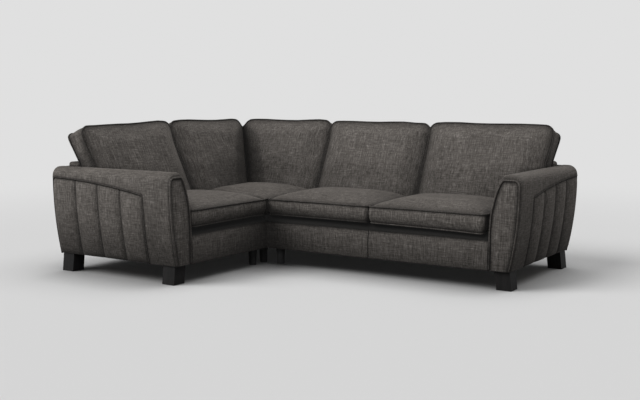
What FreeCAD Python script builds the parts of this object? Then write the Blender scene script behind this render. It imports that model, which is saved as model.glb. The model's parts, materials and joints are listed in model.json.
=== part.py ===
import FreeCAD, Part
import math
import os
import Sketcher

# Corner sofa: a return with an arm, a square corner and a two-seat side with an arm.
# Row frame: +X along the long side, +Y to the back, +Z up, origin under the middle on the floor.
# Each side has its own coordinates: s along the side from the outer back corner, v forward from the
# back plane, z up. The arm of a side stands at the far end of s, and u is the inset from its outer face.

V = FreeCAD.Vector
doc = FreeCAD.newDocument("corner_sofa")

SIZES = [
    ("long_side", 2700, "long side over its arm"),
    ("return_side", 1900, "return side over its arm"),
    ("overall_height", 905, "crest of the back cushions"),
    ("module_line", 965, "joint lines of the units and face of the front borders"),
    ("facing_plane", 960, "front face of the arm facings, from the back plane"),
    ("cushion_front", 975, "front of the seat cushions and their first split"),
    ("long_split", 1728, "split of the two seats on the long side"),
    ("border_bottom", 108, "lower edge of the front borders"),
    ("border_thickness", 12, "padded front border"),
    ("frame_bottom", 112, "underside of the timber"),
    ("rail_top", 275, "top of the seat rails"),
    ("board_thickness", 25, "timber boards"),
    ("panel_thickness", 6, "covered outside back panels"),
    ("seat_back_rail_place", 234, "rear face of the seat back rail"),
    ("seat_back_rail_height", 100, "height of the seat back rail"),
    ("top_rail_width", 76, "flat top rail"),
    ("back_top", 680, "top of the low back behind the cushions"),
    ("roll_height", 25, "padded roll on the top rail"),
    ("roll_radius", 11, "rounded edges of the roll"),
    ("roll_end", 125, "end of the roll from the arm's outer face"),
    ("inside_back_foot", 293, "front of the inside back at the rail top"),
    ("inside_back_thickness", 30, "padded inside back"),
    ("back_lean", 25, "lean of the inside back and back cushions, degrees"),
    ("post_place", 300, "inner posts of the corner unit"),
    ("webbing_thickness", 1.6, "elastic webbing"),
    ("webbing_width", 50, "elastic webbing"),
    ("webbing_pitch", 105, "spacing of the straps up the posts"),
    ("clip_height", 7, "spring clip, which carries the platform"),
    ("clip_depth", 14, "spring clip along the spring"),
    ("clip_width", 16, "spring clip along the rail"),
    ("clip_wall", 1.5, "spring clip strip"),
    ("wire_diameter", 3.8, "spring wire"),
    ("spring_reach", 22, "half width of a spring between its bends"),
    ("spring_loops", 18, "half loops of a spring"),
    ("spring_spacing", 118, "spacing of the springs"),
    ("platform_thickness", 40, "seat platform pad"),
    ("platform_front", 915, "front edge of the platform"),
    ("dust_cover_thickness", 2, "cloth under the frame"),
    ("seat_edge_height", 427, "upper piping of the seat cushions"),
    ("seat_crown", 46, "rise of a seat cushion over its piping"),
    ("seat_draw", 7, "pull of a seat cushion's sides between its corners"),
    ("seat_corner", 34, "corner radius of a seat cushion"),
    ("return_seat_end", 185, "end of the return seat cushion from the arm's outer face"),
    ("long_seat_end", 205, "end of the right seat cushion from the arm's outer face"),
    ("back_cushion_thickness", 134, "boxed border of the back cushions"),
    ("back_crown", 28, "rise of a back cushion over its front piping"),
    ("back_bulge", 4, "rise of a back cushion over its rear piping"),
    ("back_draw", 7, "pull of a back cushion's sides between its corners"),
    ("back_corner", 52, "top corner radius of a back cushion"),
    ("return_back_split", 971, "split of the two back cushions on the return"),
    ("long_back_split", 946, "first split of the back cushions on the long side"),
    ("long_back_split_b", 1732, "second split of the back cushions on the long side"),
    ("back_cushion_end", 115, "end of the outer back cushions from the arm's outer face"),
    ("cover_thickness", 3, "cushion cover with its wadding"),
    ("core_gap", 0.3, "play of a core in its cover"),
    ("cushion_gap", 0.7, "half of the play between neighbouring cushions"),
    ("seat_gap", 0.3, "play under a loose cushion"),
    ("soft_gap", 0.4, "play between curved covers that meet"),
    ("arm_height", 657, "top of the arms"),
    ("arm_inner", 184, "inner face of an arm from its outer face"),
    ("arm_inner_curve_start", 400, "height where the inner face begins to lean out"),
    ("arm_inner_radius", 470, "lean of the inner face"),
    ("barrel_height", 569, "widest height of the barrel-shaped outer face"),
    ("barrel_radius", 2000, "barrel of the outer face"),
    ("arm_top_outer_radius", 40, "outer rounding of the arm top"),
    ("arm_top_inner_radius", 35, "inner rounding of the arm top"),
    ("arm_pad_outer", 16, "padding on the outer face"),
    ("arm_pad_inner", 10, "padding on the inner face"),
    ("arm_pad_top", 29, "padding on the arm top"),
    ("arm_front_rounding", 9, "rounded front edge of the arm cover"),
    ("facing_thickness", 20, "padded arm facing"),
    ("ply_thickness", 18, "plywood end boards of an arm"),
    ("arm_rail_width", 70, "boards along an arm"),
    ("arm_rail_inset", 45, "outer edge of the arm's top board"),
    ("arm_rail_height", 590, "underside of the arm's top board"),
    ("arm_side_rail_height", 160, "underside of the arm's side board"),
    ("channel_rise", 6, "rise of a channel over the arm's outer face"),
    ("channel_groove", 4, "depth of a channel seam"),
    ("channel_width", 188, "channels of the outside arm"),
    ("channels", 4, "number of channels"),
    ("seam_rear", 594, "arm seam at the rear"),
    ("seam_middle", 574, "arm seam halfway"),
    ("seam_front", 524, "arm seam at its front corner"),
    ("seam_corner", 18, "rounded front corner of the arm seam"),
    ("foot_width", 91, "square block foot"),
    ("foot_splay", 13, "outward splay of a block foot"),
    ("foot_outset", 50, "outer side of a block foot at the floor from the arm's outer face"),
    ("foot_front_inset", 20, "front foot behind the facing plane"),
    ("foot_rear_inset", 15, "rear foot from the back plane"),
    ("support_top_radius", 30, "round support under the frame, at its top"),
    ("support_bottom_radius", 23, "round support under the frame, at the floor"),
    ("block_size", 70, "timber block over a support"),
    ("bolt_radius", 4, "foot and arm bolts"),
    ("bolt_play", 0.3, "radial play of a bolt"),
    ("bolt_depth", 42, "bolt length inside a foot"),
    ("bolt_head_radius", 8, "bolt head"),
    ("bolt_head_height", 5, "bolt head"),
    ("arm_bolt_height", 195, "arm bolts"),
    ("arm_bolt_front", 800, "front arm bolt"),
    ("arm_bolt_rear", 200, "rear arm bolt"),
    ("arm_bolt_reach", 150, "tip of an arm bolt from the arm's outer face"),
    ("claw_length", 80, "connector claw across a joint"),
    ("claw_width", 34, "connector claw"),
    ("claw_thickness", 3, "connector claw"),
    ("claw_front", 800, "front connectors"),
    ("claw_rear", 190, "rear connectors"),
    ("stud_radius", 5, "connector stud"),
    ("stud_length", 40, "connector stud"),
]

sheet = doc.addObject("Spreadsheet::Sheet", "Sizes")
for row, (alias, value, meaning) in enumerate(SIZES, start=1):
    sheet.set(f"A{row}", meaning)
    sheet.set(f"B{row}", str(value))
    sheet.setAlias(f"B{row}", alias)
doc.recompute()


def number(expression):
    """The value of an expression over the sheet, in millimetres or degrees."""
    value = sheet.evalExpression(str(expression))
    return float(getattr(value, "Value", value))


def size(alias):
    return number(f"Sizes.{alias}")


# Expressions that several pieces share
LONG_END = "(Sizes.long_side - Sizes.channel_rise)"
RETURN_END = "(Sizes.return_side - Sizes.channel_rise)"
LONG_ARM = f"({LONG_END} - Sizes.arm_inner)"
RETURN_ARM = f"({RETURN_END} - Sizes.arm_inner)"
BORDER_BACK = "(Sizes.module_line - Sizes.border_thickness)"
FRONT_RAIL_BACK = f"({BORDER_BACK} - Sizes.board_thickness)"
BACK_RAIL_FRONT = "(Sizes.panel_thickness + Sizes.board_thickness)"
SEAT_RAIL_FRONT = "(Sizes.seat_back_rail_place + Sizes.board_thickness)"
JOINT_RAIL = "(Sizes.module_line - Sizes.board_thickness)"
PLATFORM_BOTTOM = "(Sizes.rail_top + Sizes.clip_height)"
PLATFORM_TOP = f"({PLATFORM_BOTTOM} + Sizes.platform_thickness)"
ROLL_BOTTOM = "(Sizes.back_top - Sizes.roll_height)"
TOP_RAIL_BOTTOM = f"({ROLL_BOTTOM} - Sizes.board_thickness)"
ARM_FRAME_FRONT = "(Sizes.facing_plane - Sizes.facing_thickness)"
SLAB_DEPTH = "(Sizes.inside_back_thickness / cos(Sizes.back_lean))"
WEB_DEPTH = "((Sizes.webbing_thickness + Sizes.soft_gap) / cos(Sizes.back_lean))"
BLOCK_TOP = "(Sizes.frame_bottom + Sizes.board_thickness)"
DUST_BOTTOM = "(Sizes.frame_bottom - Sizes.dust_cover_thickness)"


def inside_front(height):
    """Expression for the front of the inside back at a height."""
    return f"(Sizes.inside_back_foot - ({height} - Sizes.rail_top) * tan(Sizes.back_lean))"


def inside_rear(height):
    return f"({inside_front(height)} - {SLAB_DEPTH})"


def post_front(height):
    return f"({inside_rear(height)} - {WEB_DEPTH})"


# How near two levels lie to count as one, and how far a bore or a hollow runs past its piece
TOLERANCE = 0.01
OVERCUT = 1

# The two sides: where a point, a direction and a section of a side lie in the row frame
LONG = "long"
RETURN = "return"
SIDE_END = {LONG: LONG_END, RETURN: RETURN_END}
SIDE_ARM = {LONG: LONG_ARM, RETURN: RETURN_ARM}
CORNER = V(-size("long_side") / 2, size("return_side") / 2, 0)
SECTION_TURN = {
    LONG: FreeCAD.Rotation(V(0, -1, 0), V(0, 0, 1), V(-1, 0, 0), "XYZ"),
    RETURN: FreeCAD.Rotation(V(1, 0, 0), V(0, 0, 1), V(0, -1, 0), "XYZ"),
}


def point(side, s, v, z):
    """A point of a side in the row frame."""
    if side == LONG:
        return V(CORNER.x + s, CORNER.y - v, z)
    return V(CORNER.x + v, CORNER.y - s, z)


nodes = []


def keep(piece):
    """Marks an object as a sub-part that is written to its own file."""
    nodes.append(piece)
    return piece


def board(name, side, s, v, z):
    """A straight board between pairs of expressions along s, v and z."""
    box = doc.addObject("Part::Box", name)
    along, across = (s, v) if side == LONG else (v, s)
    box.setExpression("Length", f"{along[1]} - {along[0]}")
    box.setExpression("Width", f"{across[1]} - {across[0]}")
    box.setExpression("Height", f"{z[1]} - {z[0]}")
    box.setExpression("Placement.Base.x", f"{along[0]} - Sizes.long_side / 2")
    box.setExpression("Placement.Base.y", f"Sizes.return_side / 2 - {across[1]}")
    box.setExpression("Placement.Base.z", f"{z[0]}")
    return box


def section_body(name, side, corners, s, rounded=None):
    """A padded profile: corners are (v, z) expressions, drawn in a sketch and padded along s."""
    body = doc.addObject("PartDesign::Body", name)
    plane = next(f for f in body.Origin.OriginFeatures if f.Role == "XY_Plane")
    sketch = body.newObject("Sketcher::SketchObject", name + "_profile")
    sketch.AttachmentSupport = [(plane, "")]
    sketch.MapMode = "FlatFace"
    spots = [V(number(a), number(b), 0) for a, b in corners]
    count = len(spots)
    for i in range(count):
        sketch.addGeometry(Part.LineSegment(spots[i], spots[(i + 1) % count]), False)
    for i in range(count):
        sketch.addConstraint(Sketcher.Constraint("Coincident", i, 2, (i + 1) % count, 1))
    for i, (a, b) in enumerate(corners):
        for kind, expression, value in (("DistanceX", a, spots[i].x), ("DistanceY", b, spots[i].y)):
            place = sketch.addConstraint(Sketcher.Constraint(kind, -1, 1, i, 1, value))
            sketch.setExpression(f"Constraints[{place}]", str(expression))
    pad = body.newObject("PartDesign::Pad", name + "_pad")
    pad.Profile = sketch
    pad.setExpression("Length", f"{s[1]} - {s[0]}")
    if rounded:
        doc.recompute()
        radius, level = rounded
        edges = [
            f"Edge{i}"
            for i, edge in enumerate(pad.Shape.Edges, start=1)
            if abs(edge.BoundBox.YMin - level) < TOLERANCE and abs(edge.BoundBox.YMax - level) < TOLERANCE
            and edge.BoundBox.ZLength > TOLERANCE
        ]
        fillet = body.newObject("PartDesign::Fillet", name + "_rounding")
        fillet.Base = (pad, edges)
        fillet.setExpression("Radius", radius)
    start = s[1] if side == LONG else s[0]
    body.Placement = FreeCAD.Placement(V(0, 0, 0), SECTION_TURN[side])
    if side == LONG:
        body.setExpression("Placement.Base.x", f"{start} - Sizes.long_side / 2")
        body.setExpression("Placement.Base.y", "Sizes.return_side / 2")
    else:
        body.setExpression("Placement.Base.x", "-Sizes.long_side / 2")
        body.setExpression("Placement.Base.y", f"Sizes.return_side / 2 - {start}")
    return body


def cut(name, base, tool):
    piece = doc.addObject("Part::Cut", name)
    piece.Base = base
    piece.Tool = tool
    return piece


def shaped(name, shape, anchor=V(0, 0, 0)):
    """A sub-part whose shape is set here, moved so that it is drawn about its own anchor."""
    piece = doc.addObject("Part::Feature", name)
    home = FreeCAD.Matrix()
    home.move(anchor * -1)
    piece.Shape = shape.transformed(home, copy=True)
    piece.Placement = FreeCAD.Placement(anchor, FreeCAD.Rotation())
    return piece


def group(name, pieces):
    """One sub-part of separate solids: like pieces of the frame or like fasteners."""
    doc.recompute()
    shapes = [p.Shape.copy() if hasattr(p, "Shape") else p.copy() for p in pieces]
    return keep(shaped(name, Part.makeCompound(shapes)))


def polygon(points):
    return Part.makePolygon(points + [points[0]])


def ranges(start, end, pitch):
    """Evenly spaced places between two limits, about one pitch apart."""
    count = max(1, int(round((end - start) / pitch)))
    step = (end - start) / count
    return [start + step * (i + 0.5) for i in range(count)]


# Timber of the three units
def front_rails():
    level = ("Sizes.frame_bottom", "Sizes.rail_top")
    depth = (FRONT_RAIL_BACK, BORDER_BACK)
    return [
        board(f"{side}_front_rail", side, ("Sizes.module_line", SIDE_ARM[side]), depth, level)
        for side in (LONG, RETURN)
    ]


def back_bottom_rails():
    level = ("Sizes.frame_bottom", "Sizes.rail_top")
    depth = ("Sizes.panel_thickness", BACK_RAIL_FRONT)
    spans = [
        (LONG, ("Sizes.panel_thickness", "Sizes.module_line")),
        (RETURN, (BACK_RAIL_FRONT, "Sizes.module_line")),
        (LONG, ("Sizes.module_line", LONG_ARM)),
        (RETURN, ("Sizes.module_line", RETURN_ARM)),
    ]
    return [board(f"bottom_rail_{i}", side, s, depth, level) for i, (side, s) in enumerate(spans)]


def seat_back_rails():
    level = ("(Sizes.rail_top - Sizes.seat_back_rail_height)", "Sizes.rail_top")
    depth = ("Sizes.seat_back_rail_place", SEAT_RAIL_FRONT)
    after_joint = "(Sizes.module_line + Sizes.board_thickness)"
    spans = [
        (LONG, (SEAT_RAIL_FRONT, JOINT_RAIL)),
        (RETURN, ("Sizes.seat_back_rail_place", JOINT_RAIL)),
        (LONG, (after_joint, f"({LONG_ARM} - Sizes.board_thickness)")),
        (RETURN, (after_joint, f"({RETURN_ARM} - Sizes.board_thickness)")),
    ]
    return [board(f"seat_rail_{i}", side, s, depth, level) for i, (side, s) in enumerate(spans)]


def end_rails():
    level = ("Sizes.frame_bottom", "Sizes.rail_top")
    rails = []
    for side in (LONG, RETURN):
        joint = ("Sizes.module_line", "(Sizes.module_line + Sizes.board_thickness)")
        far = (f"({SIDE_ARM[side]} - Sizes.board_thickness)", SIDE_ARM[side])
        corner = (JOINT_RAIL, "Sizes.module_line")
        joint_rail = board(f"{side}_joint_rail", side, joint, (BACK_RAIL_FRONT, FRONT_RAIL_BACK), level)
        rails.append(cut(f"{side}_joint_rail_bored", joint_rail, stud_holes(side)))
        rails.append(board(f"{side}_corner_rail", side, corner, (BACK_RAIL_FRONT, FRONT_RAIL_BACK), level))
        arm_rail = board(f"{side}_arm_rail", side, far, (BACK_RAIL_FRONT, FRONT_RAIL_BACK), level)
        rails.append(cut(f"{side}_arm_rail_bored", arm_rail, arm_bolt_holes(side)))
    return rails


def arm_bolt(side, place, radius, start, end):
    """A round along s at an arm bolt's place, between two insets from the arm's outer face."""
    outer = number(SIDE_END[side])
    base = point(side, outer - start, place, size("arm_bolt_height"))
    tip = point(side, outer - end, place, size("arm_bolt_height"))
    return Part.makeCylinder(radius, (tip - base).Length, base, tip - base)


def arm_bolt_places():
    return (size("arm_bolt_rear"), size("arm_bolt_front"))


def arm_bolt_hole_shapes(side):
    radius = size("bolt_radius") + size("bolt_play")
    start = size("arm_inner") + size("board_thickness") + OVERCUT
    end = size("arm_bolt_reach") - size("bolt_play")
    return [arm_bolt(side, place, radius, start, end) for place in arm_bolt_places()]


def arm_bolt_holes(side):
    holes = doc.addObject("Part::Feature", f"{side}_arm_bolt_holes")
    holes.Shape = Part.makeCompound(arm_bolt_hole_shapes(side))
    return holes


def stud_holes(side):
    holes = doc.addObject("Part::Feature", f"{side}_stud_holes")
    bores = [stud_round(where, v, size("bolt_play"), 0) for where, v in stud_places() if where == side]
    holes.Shape = Part.makeCompound(bores)
    return holes


def long_middle():
    return f"((Sizes.module_line + {LONG_ARM}) / 2)"


def half_board(centre):
    return (f"({centre} - Sizes.board_thickness / 2)", f"({centre} + Sizes.board_thickness / 2)")


def cross_rail():
    level = ("Sizes.frame_bottom", "Sizes.rail_top")
    rail = board("long_cross_rail", LONG, half_board(long_middle()), (SEAT_RAIL_FRONT, FRONT_RAIL_BACK), level)
    return keep(rail)


def post_spans():
    """Places of the shaped posts: each with its side and its pair of ends along s."""
    joint = ("Sizes.module_line", "(Sizes.module_line + Sizes.board_thickness)")
    corner = (JOINT_RAIL, "Sizes.module_line")
    inner = ("Sizes.post_place", "(Sizes.post_place + Sizes.board_thickness)")
    spans = [(LONG, half_board(long_middle()))]
    for side in (LONG, RETURN):
        far = (f"({SIDE_ARM[side]} - Sizes.board_thickness)", SIDE_ARM[side])
        spans += [(side, inner), (side, corner), (side, joint), (side, far)]
    return spans


def back_posts():
    corners = [
        ("Sizes.panel_thickness", "Sizes.rail_top"),
        (post_front("Sizes.rail_top"), "Sizes.rail_top"),
        (post_front(TOP_RAIL_BOTTOM), TOP_RAIL_BOTTOM),
        ("Sizes.panel_thickness", TOP_RAIL_BOTTOM),
    ]
    return [
        section_body(f"back_post_{i}", side, corners, s) for i, (side, s) in enumerate(post_spans())
    ]


def top_rails():
    level = (TOP_RAIL_BOTTOM, ROLL_BOTTOM)
    front = "(Sizes.panel_thickness + Sizes.top_rail_width)"
    depth = ("Sizes.panel_thickness", front)
    spans = [
        (LONG, ("Sizes.panel_thickness", "Sizes.module_line")),
        (RETURN, (front, "Sizes.module_line")),
        (LONG, ("Sizes.module_line", LONG_ARM)),
        (RETURN, ("Sizes.module_line", RETURN_ARM)),
    ]
    return [board(f"top_rail_{i}", side, s, depth, level) for i, (side, s) in enumerate(spans)]


def corner_post():
    edge = ("Sizes.panel_thickness", "(Sizes.panel_thickness + 2 * Sizes.board_thickness)")
    return keep(board("corner_post", LONG, edge, edge, ("Sizes.rail_top", TOP_RAIL_BOTTOM)))


def block_places():
    """Timber blocks in the frame corners: side and the low ends along s and v."""
    block = "Sizes.block_size"
    after_joint = "(Sizes.module_line + Sizes.board_thickness)"
    at_rail = f"({JOINT_RAIL} - {block})"
    front = f"({FRONT_RAIL_BACK} - {block})"
    places = [
        (LONG, BACK_RAIL_FRONT, BACK_RAIL_FRONT),
        (LONG, at_rail, BACK_RAIL_FRONT),
        (RETURN, at_rail, BACK_RAIL_FRONT),
        (LONG, f"({FRONT_RAIL_BACK} - {block})", at_rail),
    ]
    for side in (LONG, RETURN):
        places += [(side, after_joint, BACK_RAIL_FRONT), (side, after_joint, front)]
    return places


def corner_blocks():
    blocks = []
    for i, (side, s, v) in enumerate(block_places()):
        ends = (s, f"({s} + Sizes.block_size)")
        depth = (v, f"({v} + Sizes.block_size)")
        block = board(f"corner_block_{i}", side, ends, depth, ("Sizes.frame_bottom", BLOCK_TOP))
        blocks.append(cut(f"corner_block_bored_{i}", block, round_bar(f"block_bore_{i}", side, s, v)))
    edge = (FRONT_RAIL_BACK, BORDER_BACK)
    blocks.append(board("inner_corner_block", LONG, edge, edge, ("Sizes.frame_bottom", "Sizes.rail_top")))
    return blocks


def round_bar(name, side, s, v):
    """The bore through a block's middle, also through the dust cover under it."""
    bar = doc.addObject("Part::Cylinder", name)
    half = "Sizes.block_size / 2"
    along, across = (s, v) if side == LONG else (v, s)
    bar.setExpression("Radius", "Sizes.bolt_radius + Sizes.bolt_play")
    bar.setExpression("Height", f"{BLOCK_TOP} - {DUST_BOTTOM} + 2 * Sizes.board_thickness")
    bar.setExpression("Placement.Base.x", f"{along} + {half} - Sizes.long_side / 2")
    bar.setExpression("Placement.Base.y", f"Sizes.return_side / 2 - {across} - {half}")
    bar.setExpression("Placement.Base.z", f"{DUST_BOTTOM} - Sizes.board_thickness")
    return bar


# Suspension
def spring(side, s, rear, front):
    """A zigzag spring in one plane: bars along s joined by half circles, from rail to rail."""
    loops = int(size("spring_loops"))
    pitch = (front - rear) / loops
    reach = size("spring_reach")
    height = size("rail_top") + size("clip_height") / 2
    edges = []
    for k in range(loops + 1):
        away = 1 if k % 2 == 0 else -1
        v = rear + k * pitch
        edges.append(Part.LineSegment(point(side, s - away * reach, v, height),
                                      point(side, s + away * reach, v, height)).toShape())
        if k < loops:
            turn = s + away * (reach + pitch / 2)
            edges.append(Part.Arc(point(side, s + away * reach, v, height),
                                  point(side, turn, v + pitch / 2, height),
                                  point(side, s + away * reach, v + pitch, height)).toShape())
    path = Part.Wire(edges)
    start = edges[0].valueAt(edges[0].FirstParameter)
    along = edges[0].tangentAt(edges[0].FirstParameter)
    ring = Part.Wire([Part.makeCircle(size("wire_diameter") / 2, start, along)])
    return path.makePipeShell([ring], True, False)


def clip(side, s, v, forward):
    """A spring clip: a folded strip, open towards the spring."""
    base = size("rail_top")
    wall = size("clip_wall")
    depth = size("clip_depth")
    half = size("clip_width") / 2
    back = v - forward * (size("wire_diameter") / 2 + size("soft_gap"))

    def box(near, far, low, high):
        v0, v1 = sorted((near, far))
        a = point(side, s - half, v0, low)
        b = point(side, s + half, v1, high)
        corner = V(min(a.x, b.x), min(a.y, b.y), low)
        return Part.makeBox(abs(a.x - b.x), abs(a.y - b.y), high - low, corner)

    outer = box(back - forward * wall, back + forward * (depth - wall), base, base + size("clip_height"))
    slot = box(back, back + forward * depth, base + wall, base + size("clip_height") - wall)
    return outer.cut(slot)


def spring_rows():
    """Side, place along s, and the rear and front bars of each spring."""
    half_rail = size("board_thickness") / 2
    rear = size("seat_back_rail_place") + half_rail
    front = number(FRONT_RAIL_BACK) + half_rail
    margin = size("board_thickness") + size("spring_reach")
    edge = size("module_line")
    rows = [(LONG, s, rear, edge - half_rail)
            for s in ranges(number(SEAT_RAIL_FRONT) + margin, edge - margin, size("spring_spacing"))]
    middle = number(long_middle())
    spans = [(LONG, edge, middle), (LONG, middle, number(LONG_ARM)), (RETURN, edge, number(RETURN_ARM))]
    for side, start, end in spans:
        rows += [(side, s, rear, front)
                 for s in ranges(start + margin, end - margin, size("spring_spacing"))]
    return rows


def springs_and_clips():
    springs = []
    clips = []
    for side, s, rear, front in spring_rows():
        springs.append(spring(side, s, rear, front))
        clips.append(clip(side, s, rear, 1))
        clips.append(clip(side, s, front, -1))
    group("seat_springs", springs)
    group("spring_clips", clips)


def webbing():
    """Straps across the sloping edges of the posts, behind the inside backs."""
    lean = math.radians(size("back_lean"))
    up = (-math.sin(lean), math.cos(lean))
    out = (math.cos(lean), math.sin(lean))
    near = size("soft_gap") / 4
    far = near + size("webbing_thickness")
    low = size("rail_top") + size("webbing_width")
    high = number(TOP_RAIL_BOTTOM) - size("webbing_width")
    straps = []
    for z in ranges(low, high, size("webbing_pitch")):
        v = number(post_front(z))
        outline = [
            (v + out[0] * gap + up[0] * rise, z + out[1] * gap + up[1] * rise)
            for gap, rise in ((near, 0), (far, 0), (far, size("webbing_width")), (near, size("webbing_width")))
        ]
        for side in (LONG, RETURN):
            spans = [(size("post_place"), size("module_line")), (size("module_line"), number(SIDE_ARM[side]))]
            for start, end in spans:
                face = Part.Face(polygon([point(side, start, a, b) for a, b in outline]))
                straps.append(face.extrude(point(side, end, 0, 0) - point(side, start, 0, 0)))
    return straps


# Upholstery of the units
def platform_corners():
    return [
        (inside_front(PLATFORM_BOTTOM), PLATFORM_BOTTOM),
        ("Sizes.platform_front", PLATFORM_BOTTOM),
        ("Sizes.platform_front", PLATFORM_TOP),
        (inside_front(PLATFORM_TOP), PLATFORM_TOP),
    ]


def platforms():
    for side in (LONG, RETURN):
        body = section_body(f"{side}_platform", side, platform_corners(), ("Sizes.module_line", SIDE_ARM[side]))
        keep(body)
    low = number(inside_front(PLATFORM_BOTTOM))
    high = number(inside_front(PLATFORM_TOP))
    edge = size("module_line")
    wires = []
    for rear, z in ((low, number(PLATFORM_BOTTOM)), (high, number(PLATFORM_TOP))):
        square = ((rear, rear), (edge, rear), (edge, edge), (rear, edge))
        wires.append(polygon([point(LONG, s, v, z) for s, v in square]))
    solid = Part.makeLoft(wires, True, True)
    keep(shaped("corner_platform", solid, point(LONG, low, low, number(PLATFORM_BOTTOM))))


def front_borders():
    level = ("Sizes.border_bottom", PLATFORM_BOTTOM)
    depth = (BORDER_BACK, "Sizes.module_line")
    keep(board("return_front_border", RETURN, ("Sizes.module_line", RETURN_ARM), depth, level))
    keep(board("long_front_border_left", LONG, (BORDER_BACK, "Sizes.long_split"), depth, level))
    keep(board("long_front_border_right", LONG, ("Sizes.long_split", LONG_ARM), depth, level))


def arm_wire(side, at, outer, inner, top, bottom):
    """The arm's section at a depth, drawn in by the outer, inner and top offsets."""
    end = number(SIDE_END[side])
    barrel = size("barrel_radius")
    widest = size("barrel_height")
    radius = barrel - outer
    crest = size("arm_height") - top
    outer_round = max(size("arm_top_outer_radius") - outer, 2 * size("soft_gap"))
    inner_round = max(size("arm_top_inner_radius") - inner, 2 * size("soft_gap"))
    lean_radius = size("arm_inner_radius") - inner
    lean_u = size("arm_inner") - size("arm_inner_radius")
    lean_z = size("arm_inner_curve_start")

    def out(z):
        return barrel - math.sqrt(radius * radius - (widest - z) ** 2)

    round_z = crest - inner_round
    round_u = lean_u + math.sqrt((lean_radius - inner_round) ** 2 - (round_z - lean_z) ** 2)
    angle = math.atan2(round_z - lean_z, round_u - lean_u)
    half = (angle + math.pi / 2) / 2

    def spot(u, z):
        return point(side, end - u, at, z)

    def around(u, z, r, turn):
        return spot(u + r * math.cos(turn), z + r * math.sin(turn))

    foot = spot(out(bottom), bottom)
    belly = spot(outer, widest)
    shoulder = spot(outer, crest - outer_round)
    crown_start = spot(outer + outer_round, crest)
    crown_end = spot(round_u, crest)
    lean_top = around(lean_u, lean_z, lean_radius, angle)
    lean_foot = spot(lean_u + lean_radius, lean_z)
    inner_foot = spot(lean_u + lean_radius, bottom)
    middle = (bottom + widest) / 2
    edges = [
        Part.Arc(foot, spot(out(middle), middle), belly).toShape(),
        Part.LineSegment(belly, shoulder).toShape(),
        Part.Arc(shoulder, around(outer + outer_round, crest - outer_round, outer_round, 3 * math.pi / 4),
                 crown_start).toShape(),
        Part.LineSegment(crown_start, crown_end).toShape(),
        Part.Arc(crown_end, around(round_u, round_z, inner_round, half), lean_top).toShape(),
        Part.Arc(lean_top, around(lean_u, lean_z, lean_radius, angle / 2), lean_foot).toShape(),
        Part.LineSegment(lean_foot, inner_foot).toShape(),
        Part.LineSegment(inner_foot, foot).toShape(),
    ]
    return Part.Wire(edges)


def arm_block(side, rear, front, outer, inner, top, bottom):
    """A solid with the arm's section between two depths."""
    face = Part.Face(arm_wire(side, rear, outer, inner, top, bottom))
    return face.extrude(point(side, 0, front, 0) - point(side, 0, rear, 0))


def arm_clearance(side, rear, front, gap):
    """The room that an arm takes, with a gap all round."""
    return arm_block(side, rear, front, -gap, -gap, -gap, 0)


def seam_region(side, gap):
    """The room of the fluted panel on the arm's outer face, below its curved seam."""
    front = size("channels") * size("channel_width") + gap
    corner = size("seam_corner")
    rear = size("panel_thickness")
    end = number(SIDE_END[side])
    deep = end - size("arm_inner") / 2
    far = end + size("arm_inner")

    def spot(v, z):
        return point(side, deep, v, z)

    slope_end = front - corner
    diagonal = corner * (1 - math.sqrt(0.5))
    edges = [
        Part.Arc(spot(rear - gap, size("seam_rear") + gap),
                 spot((rear + slope_end) / 2, size("seam_middle") + gap),
                 spot(slope_end, size("seam_front") + gap)).toShape(),
        Part.Arc(spot(slope_end, size("seam_front") + gap),
                 spot(front - diagonal, size("seam_front") + gap - diagonal),
                 spot(front, size("seam_front") + gap - corner)).toShape(),
        Part.LineSegment(spot(front, size("seam_front") + gap - corner), spot(front, 0)).toShape(),
        Part.LineSegment(spot(front, 0), spot(rear - gap, 0)).toShape(),
        Part.LineSegment(spot(rear - gap, 0), spot(rear - gap, size("seam_rear") + gap)).toShape(),
    ]
    face = Part.Face(Part.Wire(edges))
    return face.extrude(point(side, far, 0, 0) - point(side, deep, 0, 0))


def inside_arm(side, name):
    """The padded cover over the arm: inner face, top, upper outer face and plain front zone."""
    rear = size("panel_thickness")
    front = size("facing_plane")
    bottom = size("frame_bottom")
    body = arm_block(side, rear, front, 0, 0, 0, bottom)
    edges = [e for e in body.Edges
             if abs(depth_of(side, e) - front) < TOLERANCE and e.BoundBox.ZMax > bottom + TOLERANCE]
    body = body.makeFillet(size("arm_front_rounding"), edges)
    hollow = arm_block(side, rear - OVERCUT, front + OVERCUT, size("arm_pad_outer"), size("arm_pad_inner"),
                       size("arm_pad_top"), 0)
    cover = body.cut(hollow).cut(seam_region(side, size("soft_gap")))
    for hole in arm_bolt_hole_shapes(side):
        cover = cover.cut(hole)
    cover = cover.Solids[0] if len(cover.Solids) == 1 else cover
    return keep(shaped(name, cover, point(side, number(SIDE_END[side]), rear, bottom)))


def depth_of(side, edge):
    """The depth v of an edge that lies at one depth, or minus one."""
    box = edge.BoundBox
    if side == LONG:
        return CORNER.y - box.YMin if box.YLength < TOLERANCE else -1
    return box.XMin - CORNER.x if box.XLength < TOLERANCE else -1


# Sections of the fluted panel between its foot and the widest height of the barrel
BARREL_STEPS = 6


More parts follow.
